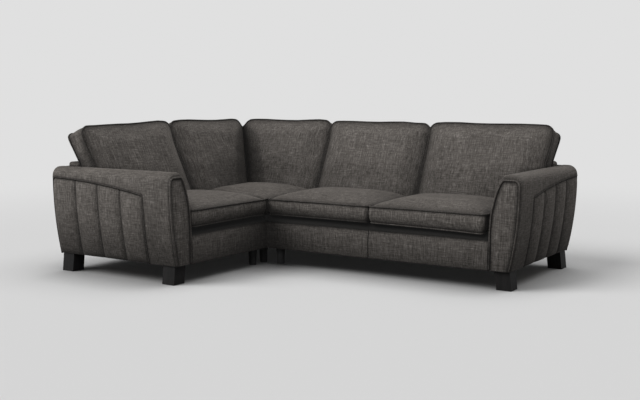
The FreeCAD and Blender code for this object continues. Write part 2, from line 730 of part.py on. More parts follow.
def outside_arm(side, name):
    """The fluted panel: four stuffed channels that follow the barrel of the arm."""
    end = number(SIDE_END[side])
    barrel = size("barrel_radius")
    widest = size("barrel_height")
    rear = size("panel_thickness")
    count = int(size("channels"))
    front = size("channels") * size("channel_width")
    width = (front - rear) / count
    bottom = size("frame_bottom")
    heights = [bottom + (widest - bottom) * i / BARREL_STEPS for i in range(BARREL_STEPS + 1)]
    heights.append(size("seam_rear") + size("seam_corner"))
    wires = []
    for z in heights:
        below = min(z, widest)
        belly = barrel - math.sqrt(barrel * barrel - (widest - below) ** 2)
        back = belly + size("arm_pad_outer")
        seam = belly + size("channel_groove")
        crest = belly - size("channel_rise")

        def spot(u, v, level=z):
            return point(side, end - u, v, level)

        edges = [Part.LineSegment(spot(back, front), spot(back, rear)).toShape(),
                 Part.LineSegment(spot(back, rear), spot(seam, rear)).toShape()]
        for i in range(count):
            start = rear + width * i
            edges.append(Part.Arc(spot(seam, start), spot(crest, start + width / 2),
                                  spot(seam, start + width)).toShape())
        edges.append(Part.LineSegment(spot(seam, front), spot(back, front)).toShape())
        wires.append(Part.Wire(edges))
    panel = Part.makeLoft(wires, True, True)
    panel = panel.common(seam_region(side, 0)).Solids[0]
    return keep(shaped(name, panel, point(side, end, rear, bottom)))


def arm_pieces():
    boards = []
    rails = []
    bases = []
    bolts = []
    for side, hand in ((LONG, "right"), (RETURN, "left")):
        inside_arm(side, f"{hand}_inside_arm")
        outside_arm(side, f"{hand}_outside_arm")
        gap = size("soft_gap")
        pads = [size("arm_pad_outer") + gap, size("arm_pad_inner"), size("arm_pad_top") + gap]
        bottom = size("frame_bottom")
        plane = number(ARM_FRAME_FRONT)
        facing = arm_block(side, plane, size("facing_plane"), pads[0], pads[1] + gap, pads[2], bottom)
        keep(shaped(f"{hand}_arm_facing", facing, point(side, number(SIDE_ARM[side]), plane, bottom)))
        ply = size("ply_thickness")
        rear = size("panel_thickness")
        for start in (rear, plane - ply):
            boards.append(arm_block(side, start, start + ply, *pads, bottom))
        rails += arm_rails(side, rear + ply, plane - ply)
        bases.append(arm_base(side, rear + ply, plane - ply))
        head = size("arm_inner") + size("board_thickness")
        for place in arm_bolt_places():
            shank = arm_bolt(side, place, size("bolt_radius"), head, size("arm_bolt_reach"))
            cap = arm_bolt(side, place, size("bolt_head_radius"), head + size("bolt_head_height"), head)
            bolts.append(shank.fuse(cap).removeSplitter())
    group("arm_end_boards", boards)
    group("arm_rails", rails)
    group("arm_base_boards", bases)
    group("arm_bolts", bolts)


def plain_box(side, s, v, z):
    a = point(side, s[0], v[0], z[0])
    b = point(side, s[1], v[1], z[1])
    return Part.makeBox(abs(a.x - b.x), abs(a.y - b.y), z[1] - z[0], V(min(a.x, b.x), min(a.y, b.y), z[0]))


def arm_rails(side, rear, front):
    """Two like boards along an arm: a flat one under the top and an upright one at the seat frame."""
    end = number(SIDE_END[side])
    thick = size("board_thickness")
    wide = size("arm_rail_width")
    top = plain_box(side, (end - size("arm_rail_inset") - wide, end - size("arm_rail_inset")), (rear, front),
                    (size("arm_rail_height"), size("arm_rail_height") + thick))
    face = end - size("arm_inner") + size("arm_pad_inner")
    upright = plain_box(side, (face, face + thick), (rear, front),
                        (size("arm_side_rail_height"), size("arm_side_rail_height") + wide))
    for hole in arm_bolt_hole_shapes(side):
        upright = upright.cut(hole)
    return [top, upright]


def arm_base(side, rear, front):
    end = number(SIDE_END[side])
    barrel = size("barrel_radius")
    drop = size("barrel_height") - size("frame_bottom")
    belly = barrel - math.sqrt((barrel - size("arm_pad_outer")) ** 2 - drop ** 2)
    inner = end - size("arm_inner") + size("arm_pad_inner")
    base = plain_box(side, (inner, end - belly - size("soft_gap")), (rear, front),
                     (size("frame_bottom"), number(BLOCK_TOP)))
    for s, v in arm_foot_centres(side):
        bore = bolt_round(side, s, v, size("bolt_radius") + size("bolt_play"), 0, number(BLOCK_TOP) + OVERCUT)
        base = base.cut(bore)
    return base


# Outside backs, inside backs and the roll over the top rail
def outside_backs():
    level = ("Sizes.border_bottom", ROLL_BOTTOM)
    depth = ("0", "Sizes.panel_thickness")
    for side in (LONG, RETURN):
        reach = f"({SIDE_END[side]} - Sizes.arm_inner / 2)"
        plate = board(f"{side}_back_plate", side, ("Sizes.module_line", reach), depth, level)
        doc.recompute()
        rear = size("soft_gap")
        arm = arm_block(side, 0, size("panel_thickness"), rear, rear, rear, size("border_bottom"))
        fused = plate.Shape.fuse(arm).removeSplitter()
        keep(shaped(f"{side}_outside_back", fused.Solids[0], point(side, size("module_line"), 0, 0)))
    corner = [
        board("corner_plate_rear", LONG, ("0", "Sizes.module_line"), depth, level),
        board("corner_plate_left", RETURN, ("Sizes.panel_thickness", "Sizes.module_line"), depth, level),
    ]
    group("corner_outside_backs", corner)


def diagonal_room(side, gap):
    """Everything of the other side of the corner's diagonal, which a mitred piece gives up."""
    far = size("module_line") * 2
    low = -size("module_line")
    outline = [point(side, low + gap, low, 0), point(side, far + gap, far, 0), point(side, low + gap, far, 0)]
    return Part.Face(polygon(outline)).extrude(V(0, 0, 2 * size("overall_height")))


def inside_backs():
    foot = PLATFORM_BOTTOM
    corners = [
        (inside_rear(foot), foot),
        (inside_front(foot), foot),
        (inside_front(ROLL_BOTTOM), ROLL_BOTTOM),
        (inside_rear(ROLL_BOTTOM), ROLL_BOTTOM),
    ]
    roll = [
        ("0", ROLL_BOTTOM),
        (inside_front(ROLL_BOTTOM), ROLL_BOTTOM),
        (inside_front("Sizes.back_top"), "Sizes.back_top"),
        ("0", "Sizes.back_top"),
    ]
    rounding = ("Sizes.roll_radius", size("back_top"))
    rolls = []
    mitred = []
    for side in (LONG, RETURN):
        reach = f"({SIDE_END[side]} - Sizes.arm_inner / 2)"
        roll_reach = f"({SIDE_END[side]} - Sizes.roll_end)"
        room = arm_clearance(side, -size("arm_inner"), size("facing_plane"), size("soft_gap"))
        for name, outline, extra, end in ((f"{side}_inside_back", corners, None, reach),
                                          (f"{side}_roll", roll, rounding, roll_reach)):
            body = section_body(f"{name}_profile_body", side, outline, ("Sizes.module_line", end), extra)
            doc.recompute()
            piece = body.Shape.cut(room).Solids[0]
            if extra:
                rolls.append(piece)
            else:
                keep(shaped(name, piece, point(side, size("module_line"), 0, size("rail_top"))))
        for name, outline, extra in ((f"{side}_corner_back", corners, None), (f"{side}_corner_roll", roll, rounding)):
            body = section_body(f"{name}_profile_body", side, outline, ("0", "Sizes.module_line"), extra)
            doc.recompute()
            piece = body.Shape.cut(diagonal_room(side, size("soft_gap") / 4)).Solids[0]
            (rolls if extra else mitred).append(piece)
    group("corner_inside_backs", mitred)
    group("back_top_rolls", rolls)


def dust_covers():
    level = (DUST_BOTTOM, "Sizes.frame_bottom")
    depth = ("Sizes.panel_thickness", BORDER_BACK)
    spans = [
        (LONG, ("Sizes.panel_thickness", "Sizes.module_line"), ("Sizes.panel_thickness", BORDER_BACK)),
        (LONG, ("Sizes.module_line", LONG_ARM), depth),
        (RETURN, ("Sizes.module_line", RETURN_ARM), depth),
    ]
    covers = []
    for i, (side, s, v) in enumerate(spans):
        sheet_piece = board(f"dust_cover_{i}", side, s, v, level)
        doc.recompute()
        shape = sheet_piece.Shape
        for side_b, sb, vb in block_places():
            shape = shape.cut(support_bore(side_b, number(sb), number(vb)))
        for stud in stud_places():
            shape = shape.cut(stud_round(*stud, size("bolt_play"), 0))
        covers.append(shape)
    return covers


def bolt_round(side, s, v, radius, low, high):
    return Part.makeCylinder(radius, high - low, point(side, s, v, low), V(0, 0, 1))


def support_bore(side, s, v):
    half = size("block_size") / 2
    radius = size("bolt_radius") + size("bolt_play")
    return bolt_round(side, s + half, v + half, radius, 0, number(BLOCK_TOP) + OVERCUT)


# Feet, their bolts and the connectors between the units
def arm_foot_centres(side):
    """Middle of each block foot at its top, as s and v."""
    half = size("foot_width") / 2
    s = number(SIDE_END[side]) - size("foot_outset") - half - size("foot_splay")
    return [(s, size("foot_rear_inset") + half), (s, size("facing_plane") - size("foot_front_inset") - half)]


def block_foot(side, s, v):
    """A square block that splays outward to the floor."""
    half = size("foot_width") / 2
    top = size("frame_bottom")
    wires = []
    for shift, z in ((size("foot_splay"), 0), (0, top)):
        square = ((-half, -half), (half, -half), (half, half), (-half, half))
        wires.append(polygon([point(side, s + shift + a, v + b, z) for a, b in square]))
    foot = Part.makeLoft(wires, True, True)
    return foot.cut(bolt_round(side, s, v, size("bolt_radius") + size("bolt_play"),
                               top - size("bolt_depth"), top + OVERCUT))


def foot_bolt(side, s, v, tip):
    """A bolt driven down through the board into a foot, its head on the board."""
    top = number(BLOCK_TOP)
    shank = bolt_round(side, s, v, size("bolt_radius"), tip, top)
    head = bolt_round(side, s, v, size("bolt_head_radius"), top, top + size("bolt_head_height"))
    return shank.fuse(head).removeSplitter()


def feet():
    feet_list = []
    bolts = []
    for side in (LONG, RETURN):
        for s, v in arm_foot_centres(side):
            feet_list.append(block_foot(side, s, v))
            bolts.append(foot_bolt(side, s, v, size("frame_bottom") - size("bolt_depth")))
    supports = []
    half = size("block_size") / 2
    top = number(DUST_BOTTOM)
    for side, s_low, v_low in block_places():
        s = number(s_low) + half
        v = number(v_low) + half
        cone = Part.makeCone(size("support_bottom_radius"), size("support_top_radius"), top,
                             point(side, s, v, 0), V(0, 0, 1))
        supports.append(cone.cut(bolt_round(side, s, v, size("bolt_radius") + size("bolt_play"),
                                            top - size("bolt_depth"), top + OVERCUT)))
        bolts.append(foot_bolt(side, s, v, top - size("bolt_depth")))
    group("block_feet", feet_list)
    group("support_feet", supports)
    group("foot_bolts", bolts)


def stud_places():
    """Side and depth of each connector, on the neighbour's side of the joint."""
    return [(side, v) for side in (LONG, RETURN) for v in (size("claw_rear"), size("claw_front"))]


def stud_round(side, v, play, low):
    s = size("module_line") + size("board_thickness") / 2
    return bolt_round(side, s, v, size("stud_radius") + play, low, size("frame_bottom") + size("stud_length") / 2)


def connectors():
    claws = []
    studs = []
    half = size("claw_width") / 2
    top = number(DUST_BOTTOM)
    low = top - size("claw_thickness")
    for side, v in stud_places():
        ends = (size("module_line") - size("claw_length") / 2, size("module_line") + size("claw_length") / 2)
        claw = plain_box(side, ends, (v - half, v + half), (low, top))
        claws.append(claw.cut(stud_round(side, v, size("bolt_play"), 0)))
        shank = stud_round(side, v, 0, low)
        s = size("module_line") + size("board_thickness") / 2
        head = bolt_round(side, s, v, size("bolt_head_radius"), low - size("claw_thickness"), low)
        studs.append(shank.fuse(head).removeSplitter())
    group("connector_claws", claws)
    group("connector_studs", studs)


# Cushions
def fillet_ring(corners, radii, draws, place):
    """A closed wire of four drawn-in sides and four round corners, placed by a function of (a, b)."""
    count = len(corners)
    starts = []
    ends = []
    middles = []
    for i in range(count):
        here = V(*corners[i], 0)
        before = (V(*corners[i - 1], 0) - here).normalize()
        after = (V(*corners[(i + 1) % count], 0) - here).normalize()
        half = before.getAngle(after) / 2
        reach = radii[i] / math.tan(half)
        inward = (before + after).normalize()
        starts.append(here + before * reach)
        ends.append(here + after * reach)
        middles.append(here + inward * (radii[i] / math.sin(half) - radii[i]))
    centre = sum((V(*c, 0) for c in corners), V(0, 0, 0)) * (1.0 / count)
    edges = []
    for i in range(count):
        nxt = (i + 1) % count
        a = ends[i]
        b = starts[nxt]
        along = (b - a).normalize()
        inward = V(-along.y, along.x, 0)
        if (centre - a).dot(inward) < 0:
            inward = inward * -1
        middle = (a + b) * 0.5 + inward * draws[i]
        edges.append(Part.Arc(place(a), place(middle), place(b)).toShape())
        edges.append(Part.Arc(place(b), place(middles[nxt]), place(ends[nxt])).toShape())
    return Part.Wire(edges)


# Levels of a cushion's form: share of the crown, and how far the outline is drawn in there
SEAT_LEVELS = ((0.20, 14), (0.45, 40), (0.68, 78), (0.86, 128), (0.96, 186), (1.0, 250))
BACK_LEVELS = ((0.22, 12), (0.50, 34), (0.74, 66), (0.90, 108), (1.0, 165))
# How far a back cushion's outline is drawn in at its rear face and at its two seams
REAR_FACE_DRAW = 60
REAR_SEAM_DRAW = 8
FRONT_SEAM_DRAW = 5
# Height of a border's rounded edge at a seam
EDGE_ROUND = 9
# Share of the draw that the rear of a seat cushion and the foot of a back cushion take
REAR_SHARE = 0.3
FOOT_SHARE = 0.6
# Growth of the corner radii with the draw, and the largest radius as a share of the shorter side
SEAT_CORNER_GROWTH = 0.55
BACK_TOP_GROWTH = 0.4
BACK_FOOT_GROWTH = 0.5
CORNER_SHARE = 0.42
# Least bow of a side, and its loss with the draw
LEAST_BOW = 0.3
SEAT_BOW_LOSS = 0.12
BACK_BOW_LOSS = 0.05
# The draw where the sides of a seat cushion and of a back cushion run straight
SEAT_BOW_END = 78
BACK_BOW_END = 66


def seat_form(side, start, end, slanted_start, inset):
    """A boxed seat cushion: drawn-in border, then a crown that fades to its sides, less at the rear."""
    bottom = number(PLATFORM_TOP) + size("seat_gap")
    edge = size("seat_edge_height")
    lean = math.tan(math.radians(size("back_lean")))
    front = size("cushion_front") - inset
    rear_foot = seat_rear(bottom)
    crown = size("seat_crown")
    levels = [(bottom + inset, EDGE_ROUND, EDGE_ROUND), (bottom + EDGE_ROUND, 0, 0), (edge - inset, 0, 0)]
    for share, draw in SEAT_LEVELS:
        levels.append((edge + crown * share - inset, draw, draw * REAR_SHARE))
    wires = []
    for z, draw, rear_draw in levels:
        back = rear_foot - (z - bottom) * lean + inset / math.cos(math.radians(size("back_lean"))) + rear_draw
        first = back if slanted_start else start + inset + draw
        fade = max(0.0, 1 - draw / SEAT_BOW_END)
        shorter = min(end - inset - draw - first, front - draw - back)
        radius = max(size("seat_corner") - inset, size("seat_corner") / 2) + draw * SEAT_CORNER_GROWTH
        radius = min(radius, shorter * CORNER_SHARE)
        pull = size("seat_draw") * fade + LEAST_BOW - draw * SEAT_BOW_LOSS
        bent = [pull, pull, pull, pull]
        if slanted_start:
            bent = [LEAST_BOW, pull, pull, LEAST_BOW]
        corners = ((first, back), (end - inset - draw, back), (end - inset - draw, front - draw),
                   (first, front - draw))

        def place(spot, level=z):
            return point(side, spot.x, spot.y, level)

        wires.append(fillet_ring(corners, [radius] * 4, bent, place))
    return Part.makeLoft(wires, True, True)


def seat_rear(height):
    """Rear of the seat cushions at a height: just ahead of the crowned back cushions."""
    lean = math.radians(size("back_lean"))
    ahead = (size("back_cushion_thickness") + size("back_crown") + 2 * size("cushion_gap")) / math.cos(lean)
    return back_plane(height) + ahead


def back_plane(height):
    """Rear piping plane of the back cushions at a height."""
    lean = math.radians(size("back_lean"))
    return number(inside_front(height)) + (size("back_bulge") + size("cushion_gap")) / math.cos(lean)


def back_form(side, start, end, inset):
    """A boxed back cushion that leans on the inside back; start may be None for the mitred end."""
    lean = math.radians(size("back_lean"))
    foot = number(PLATFORM_TOP) + size("seat_gap")
    rear = back_plane(foot)
    thick = size("back_cushion_thickness")
    crown = size("back_crown")
    crest = size("overall_height")
    levels = [(-size("back_bulge") + inset, REAR_FACE_DRAW), (inset, REAR_SEAM_DRAW), (EDGE_ROUND, 0),
              (thick - EDGE_ROUND, 0), (thick - inset, FRONT_SEAM_DRAW)]
    for share, draw in BACK_LEVELS:
        levels.append((thick + crown * share - inset, draw))
    top = (crest - foot - (thick - EDGE_ROUND) * math.sin(lean)) / math.cos(lean)
    wires = []
    for t, draw in levels:
        low = -t * math.tan(lean) + (inset + draw * FOOT_SHARE) / math.cos(lean)
        high = top - inset - draw

        def spot_v(h, depth=t):
            return rear - h * math.sin(lean) + depth * math.cos(lean)

        def place(spot, depth=t):
            height = foot + spot.y * math.cos(lean) + depth * math.sin(lean)
            return point(side, spot.x, spot_v(spot.y, depth), height)

        mitre = size("cushion_gap") + inset * math.sqrt(2) + draw
        low_start = spot_v(low) + mitre if start is None else start + inset + draw
        high_start = spot_v(high) + mitre if start is None else start + inset + draw
        last = end - inset - draw
        corners = ((low_start, low), (last, low), (last, high), (high_start, high))
        fade = max(0.0, 1 - draw / BACK_BOW_END)
        pull = size("back_draw") * fade + LEAST_BOW - draw * BACK_BOW_LOSS
        turn = max(size("back_corner") - inset, size("back_corner") / 2) + draw * BACK_TOP_GROWTH
        small = size("seat_corner") / 2 + draw * BACK_FOOT_GROWTH
        wires.append(fillet_ring(corners, [small, small, turn, turn], [LEAST_BOW, pull, pull, pull], place))
    return Part.makeLoft(wires, True, True)


def cushion(name, form, side, anchor, trim=None):
    """A sewn cover and the core inside it, from one form at two insets."""
    shell = size("cover_thickness")
    outer = form(0)
    inner = form(shell)
    core = form(shell + size("core_gap"))
    if trim:
        outer = outer.cut(trim(0)).Solids[0]
        inner = inner.cut(trim(shell)).Solids[0]
        core = core.cut(trim(shell + size("core_gap"))).Solids[0]
    cover = outer.cut(inner)
    keep(shaped(f"{name}_cover", cover.Solids[0], anchor))
    keep(shaped(f"{name}_core", core, anchor))


def seat_cushions():
    gap = size("cushion_gap")
    edge = size("cushion_front")
    base = number(PLATFORM_TOP)
    split = size("long_split")
    spans = [
        ("return_seat_cushion", RETURN, edge + gap, number(RETURN_END) - size("return_seat_end"), False),
        ("corner_seat_cushion", LONG, None, edge - gap, True),
        ("middle_seat_cushion", LONG, edge + gap, split - gap, False),
        ("right_seat_cushion", LONG, split + gap, number(LONG_END) - size("long_seat_end"), False),
    ]
    for name, side, start, end, slanted in spans:
        anchor = point(side, end, edge, base)

        def form(inset, side=side, start=start, end=end, slanted=slanted):
            return seat_form(side, start, end, slanted, inset)

        cushion(name, form, side, anchor)


def back_cushions():
    gap = size("cushion_gap")
    base = number(PLATFORM_TOP)
    spans = [
        ("left_back_cushion", RETURN, size("return_back_split") + gap,
         number(RETURN_END) - size("back_cushion_end"), True),
        ("corner_left_back_cushion", RETURN, None, size("return_back_split") - gap, False),
        ("corner_rear_back_cushion", LONG, None, size("long_back_split") - gap, False),
        ("middle_back_cushion", LONG, size("long_back_split") + gap, size("long_back_split_b") - gap, False),
        ("right_back_cushion", LONG, size("long_back_split_b") + gap,
         number(LONG_END) - size("back_cushion_end"), True),
    ]
    for name, side, start, end, at_arm in spans:
        anchor = point(side, end, back_plane(base), base)

        def form(inset, side=side, start=start, end=end):
            return back_form(side, start, end, inset)

        def trim(inset, side=side):
            return arm_clearance(side, -size("arm_inner"), size("facing_plane"), size("cushion_gap") + inset)

        cushion(name, form, side, anchor, trim if at_arm else None)


group("seat_front_rails", front_rails())
group("back_bottom_rails", back_bottom_rails())
group("seat_back_rails", seat_back_rails())
group("end_rails", end_rails())
cross_rail()
group("back_posts", back_posts())
group("top_rails", top_rails())
corner_post()
group("corner_blocks", corner_blocks())
springs_and_clips()
group("back_webbing", webbing())
platforms()
front_borders()
arm_pieces()
outside_backs()
inside_backs()
group("dust_covers", dust_covers())
feet()
connectors()
seat_cushions()
back_cushions()
doc.recompute()

for thing in doc.Objects:
    if "Invalid" in thing.State or "Error" in thing.State:
        raise RuntimeError(f"{thing.Name} failed: {thing.State}")
for piece in nodes:
    if piece.Shape.isNull() or not piece.Shape.isValid():
        raise RuntimeError(f"{piece.Label} has no valid shape")

os.makedirs("parts", exist_ok=True)
for piece in nodes:
    piece.Shape.exportStep(f"parts/{piece.Label}.step")
print(len(nodes), "sub-parts written")
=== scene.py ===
import json
import math
import bmesh
import bpy
import numpy as np
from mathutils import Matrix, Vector, noise
from mathutils.kdtree import KDTree

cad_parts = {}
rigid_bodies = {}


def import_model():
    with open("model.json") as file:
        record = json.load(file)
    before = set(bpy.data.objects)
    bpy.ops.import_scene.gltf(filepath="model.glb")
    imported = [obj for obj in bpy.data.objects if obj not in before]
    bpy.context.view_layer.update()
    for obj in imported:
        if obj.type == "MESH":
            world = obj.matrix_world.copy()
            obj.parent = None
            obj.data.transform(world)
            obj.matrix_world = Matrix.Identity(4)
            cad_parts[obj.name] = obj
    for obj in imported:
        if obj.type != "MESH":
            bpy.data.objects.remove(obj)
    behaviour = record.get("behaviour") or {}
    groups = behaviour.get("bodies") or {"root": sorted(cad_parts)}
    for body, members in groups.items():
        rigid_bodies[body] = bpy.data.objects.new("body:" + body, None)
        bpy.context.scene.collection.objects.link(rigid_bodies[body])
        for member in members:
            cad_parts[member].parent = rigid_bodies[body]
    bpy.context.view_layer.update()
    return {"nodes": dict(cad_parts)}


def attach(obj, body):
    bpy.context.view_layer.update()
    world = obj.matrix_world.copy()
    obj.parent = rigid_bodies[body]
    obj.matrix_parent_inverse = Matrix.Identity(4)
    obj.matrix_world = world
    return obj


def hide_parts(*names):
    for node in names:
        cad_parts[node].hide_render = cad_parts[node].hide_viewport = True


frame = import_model()

# Sizes in metres. Each side has its own coordinates: s along the side from the outer back corner,
# v forward from the back plane, z up. u is the inset from an arm's outer face.
LONG = "long"
RETURN = "return"
HALF_LONG = 1.35
HALF_RETURN = 0.95
SIDE_END = {LONG: 2.694, RETURN: 1.894}
MODULE = 0.965
PANEL = 0.006
GAP = 0.0007
UNIT_GAP = 0.0004
FRAME_BOTTOM = 0.112
BORDER_BOTTOM = 0.108
RAIL_TOP = 0.275
PLATFORM_BOTTOM = 0.282
PLATFORM_TOP = 0.322
PLATFORM_FRONT = 0.915
ROLL_BOTTOM = 0.655
ARM_TOP = 0.657
BACK_TOP = 0.680
OVERALL = 0.905
INSIDE_FOOT = 0.293
INSIDE_THICK = 0.030
LEAN = math.radians(25)
SIN = math.sin(LEAN)
COS = math.cos(LEAN)
TAN = math.tan(LEAN)
LONG_SPLIT = 1.728
PIPING = 0.0048
SEAM_SHADE_WIDTH = 0.011
MESH_STEP = 0.013
WELD = 0.0002
TUBE_SIDES = 8
WHITE = (1, 1, 1, 1)


def at(side, s, v, z):
    """Points of a side in the row frame; any of s, v and z may be arrays."""
    s, v, z = np.broadcast_arrays(s, v, z)
    if side == LONG:
        return np.stack([s - HALF_LONG, HALF_RETURN - v, z], -1).astype(float)
    return np.stack([v - HALF_LONG, HALF_RETURN - s, z], -1).astype(float)


def side_coordinates(side, points):
    """World points as (s, v, z) of a side."""
    x, y, z = points.T
    if side == LONG:
        return x + HALF_LONG, HALF_RETURN - y, z
    return HALF_RETURN - y, x + HALF_LONG, z


def lean_front(z):
    """Depth of the inside back's leaning face at a height."""
    return INSIDE_FOOT - (z - RAIL_TOP) * TAN


# Curves
def share_of(value, start, reach):
    """0 before the start, 1 beyond the reach."""
    return np.clip((value - start) / reach, 0, 1)


def eased(share):
    return share * share * (3 - 2 * share)


def fading(distance, reach):
    """1 at a line, and less away from it."""
    return np.exp(-np.clip(distance, 0, None) / reach)


def rounded_off(distance, reach, depth):
    """How far a face falls back near its end, over a rounded edge."""
    return depth * (1 - math.sqrt(max(0.0, 1 - max(0.0, 1 - distance / reach) ** 2)))


def round_ended(low, high, radius, count, turn_steps):
    """Spots between two ends that lie closer over the ends' round edges."""
    near = radius * (1 - np.cos(np.linspace(0, math.pi / 2, turn_steps + 1)[:-1]))
    return np.concatenate([low + near, np.linspace(low + radius, high - radius, count), high - near[::-1]])


def lengths_along(line):
    """Distance of each point of a line from its start."""
    return np.concatenate([[0], np.cumsum(np.linalg.norm(np.diff(line, axis=0), axis=1))])


def even(line, count):
    """The same line as a fixed number of evenly spaced points."""
    lengths = lengths_along(line)
    spots = np.linspace(0, lengths[-1], count)
    return np.stack([np.interp(spots, lengths, column) for column in line.T], 1)


def resampled(line, step, closed):
    """The same line with even steps."""
    if closed:
        line = np.vstack([line, line[:1]])
    points = even(line, max(4, int(round(lengths_along(line)[-1] / step))) + 1)
    return points[:-1] if closed else points


def soft(points, scale, depth, seed):
    """Slow unevenness, the same in each run."""
    shift = Vector((seed * 3.7, seed * 1.9, seed * 5.3))
    values = np.array([noise.noise(Vector(p) * scale + shift) for p in points.reshape(-1, 3)])
    return values.reshape(points.shape[:-1]) * depth


# Meshes
def grid_faces(rows, columns, closed, start=0):
    """Quads over a grid of points stored row by row."""
    faces = []
    for i in range(rows - 1):
        here = start + i * columns
        for j in range(columns if closed else columns - 1):
            k = (j + 1) % columns
            faces.append((here + j, here + k, here + columns + k, here + columns + j))
    return faces


def new_mesh(name, points, faces):
    mesh = bpy.data.meshes.new(name)
    mesh.from_pydata([tuple(p) for p in points], [], faces)
    mesh.validate()
    mesh.update()
    return mesh


def add_object(name, data):
    obj = bpy.data.objects.new(name, data)
    bpy.context.scene.collection.objects.link(obj)
    return obj


def weld(mesh):
    """Joins points that lie together and turns all faces outward."""
    bm = bmesh.new()
    bm.from_mesh(mesh)
    bmesh.ops.remove_doubles(bm, verts=bm.verts, dist=WELD)
    bmesh.ops.dissolve_degenerate(bm, edges=bm.edges, dist=WELD / 4)
    bmesh.ops.recalc_face_normals(bm, faces=bm.faces)
    bm.to_mesh(mesh)
    bm.free()


def piece(name, patches, material, replaced=(), body="frame"):
    """An object from grid patches: each a points array of (rows, columns, 3) and a closed flag."""
    points = []
    faces = []
    for patch, closed in patches:
        faces += grid_faces(*patch.shape[:2], closed, len(points))
        points += list(patch.reshape(-1, 3))
    mesh = new_mesh(name, points, faces)
    weld(mesh)
    mesh.polygons.foreach_set("use_smooth", [True] * len(mesh.polygons))
    mesh.materials.append(material)
    obj = add_object(name, mesh)
    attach(obj, body)
    if replaced:
        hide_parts(*replaced)
    return obj


def coordinates(obj):
    co = np.empty(len(obj.data.vertices) * 3)
    obj.data.vertices.foreach_get("co", co)
    return co.reshape(-1, 3)


def line_distances(points, lines):
    """Distance of each point from the nearest of the lines' points."""
    spots = np.vstack(lines)
    tree = KDTree(len(spots))
    for index, spot in enumerate(spots):
        tree.insert(Vector(spot), index)
    tree.balance()
    return [tree.find(Vector(p))[2] for p in points]


def paint_line_shade(obj, lines, width=SEAM_SHADE_WIDTH, strength=1.0, above=0.0):
    """Painted shade: a point attribute that fades away from the given lines, seams and also edges and zones, and
    darkens the cloth's colour there.

    It leaves points below a level out, and of several calls the strongest shade stays.
    """
    points = coordinates(obj)
    values = [strength * math.exp(-((distance / width) ** 2)) if p[2] > above else 0.0
              for p, distance in zip(points, line_distances(points, lines))]
    attribute = obj.data.attributes.get("seam")
    if attribute:
        values = [max(value, earlier.value) for value, earlier in zip(values, attribute.data)]
    else:
        attribute = obj.data.attributes.new("seam", "FLOAT", "POINT")
    attribute.data.foreach_set("value", values)


def tube_patch(line, radius, closed):
    """Rings of a round tube along a line, carried along without twist."""
    ahead = np.roll(line, -1, 0) - np.roll(line, 1, 0) if closed else np.gradient(line, axis=0)
    ahead /= np.linalg.norm(ahead, axis=1)[:, None]
    start = np.cross(ahead[0], (0, 0, 1))
    if np.linalg.norm(start) < 0.1:
        start = np.cross(ahead[0], (1, 0, 0))
    normals = [start / np.linalg.norm(start)]
    for way in ahead[1:]:
        n = normals[-1] - way * normals[-1].dot(way)
        normals.append(n / np.linalg.norm(n))
    normals = np.array(normals)
    angles = np.zeros(len(line))
    if closed:
        n = normals[-1] - ahead[0] * normals[-1].dot(ahead[0])
        turn = math.atan2(np.cross(n, normals[0]).dot(ahead[0]), n.dot(normals[0]))
        angles = np.linspace(0, turn, len(line))
    across = np.cross(ahead, normals)
    rings = []
    for k in range(TUBE_SIDES):
        a = 2 * math.pi * k / TUBE_SIDES + angles
        rings.append(line + radius * (np.cos(a)[:, None] * normals + np.sin(a)[:, None] * across))
    rings = np.stack(rings, 1)
    if closed:
        return np.concatenate([rings, rings[:1]]), True
    tips = [np.repeat(tip[:, None], TUBE_SIDES, 1) for tip in (line[:1], line[-1:])]
    return np.concatenate([tips[0], rings, tips[1]]), True


def piping(name, line, closed, material, body="frame", radius=PIPING, step=0.012):
    """A fabric-covered cord along a seam."""
    piece(name, [tube_patch(resampled(line, step, closed), radius, closed)], material, body=body)


def closed_along(rows):
    """Patches of a closed profile carried along a side, with both ends filled."""
    rows = np.stack(rows)
    patches = [(rows, True)]
    for cap in (rows[0], rows[-1]):
        middle = cap.mean(0)
        patches.append((np.stack([cap, np.repeat(middle[None], len(cap), 0)]), True))
    return patches


def rim_strips(front, rear):
    """The four strips that close the edges between two grids."""
    edges = zip((front[0], front[-1], front[:, 0], front[:, -1]), (rear[0], rear[-1], rear[:, 0], rear[:, -1]))
    return [(np.stack(pair), False) for pair in edges]


# Materials
def feed(tree, node, inputs):
    """Links or sets a node's inputs."""
    for socket, value in inputs.items():
        if isinstance(value, bpy.types.NodeSocket):
            tree.links.new(value, node.inputs[socket])
        else:
            node.inputs[socket].default_value = value


def add_node(tree, kind, inputs, **settings):
    node = tree.nodes.new(kind)
    for key, value in settings.items():
        setattr(node, key, value)
    feed(tree, node, inputs)
    return node.outputs


def seen_directly(tree):
    """1 for what the camera sees, also in a reflection, and 0 for light that comes off it."""
    rays = add_node(tree, "ShaderNodeLightPath", {})
    return add_node(tree, "ShaderNodeMath", {0: rays["Is Camera Ray"], 1: rays["Is Glossy Ray"]},
                    operation="MAXIMUM")[0]


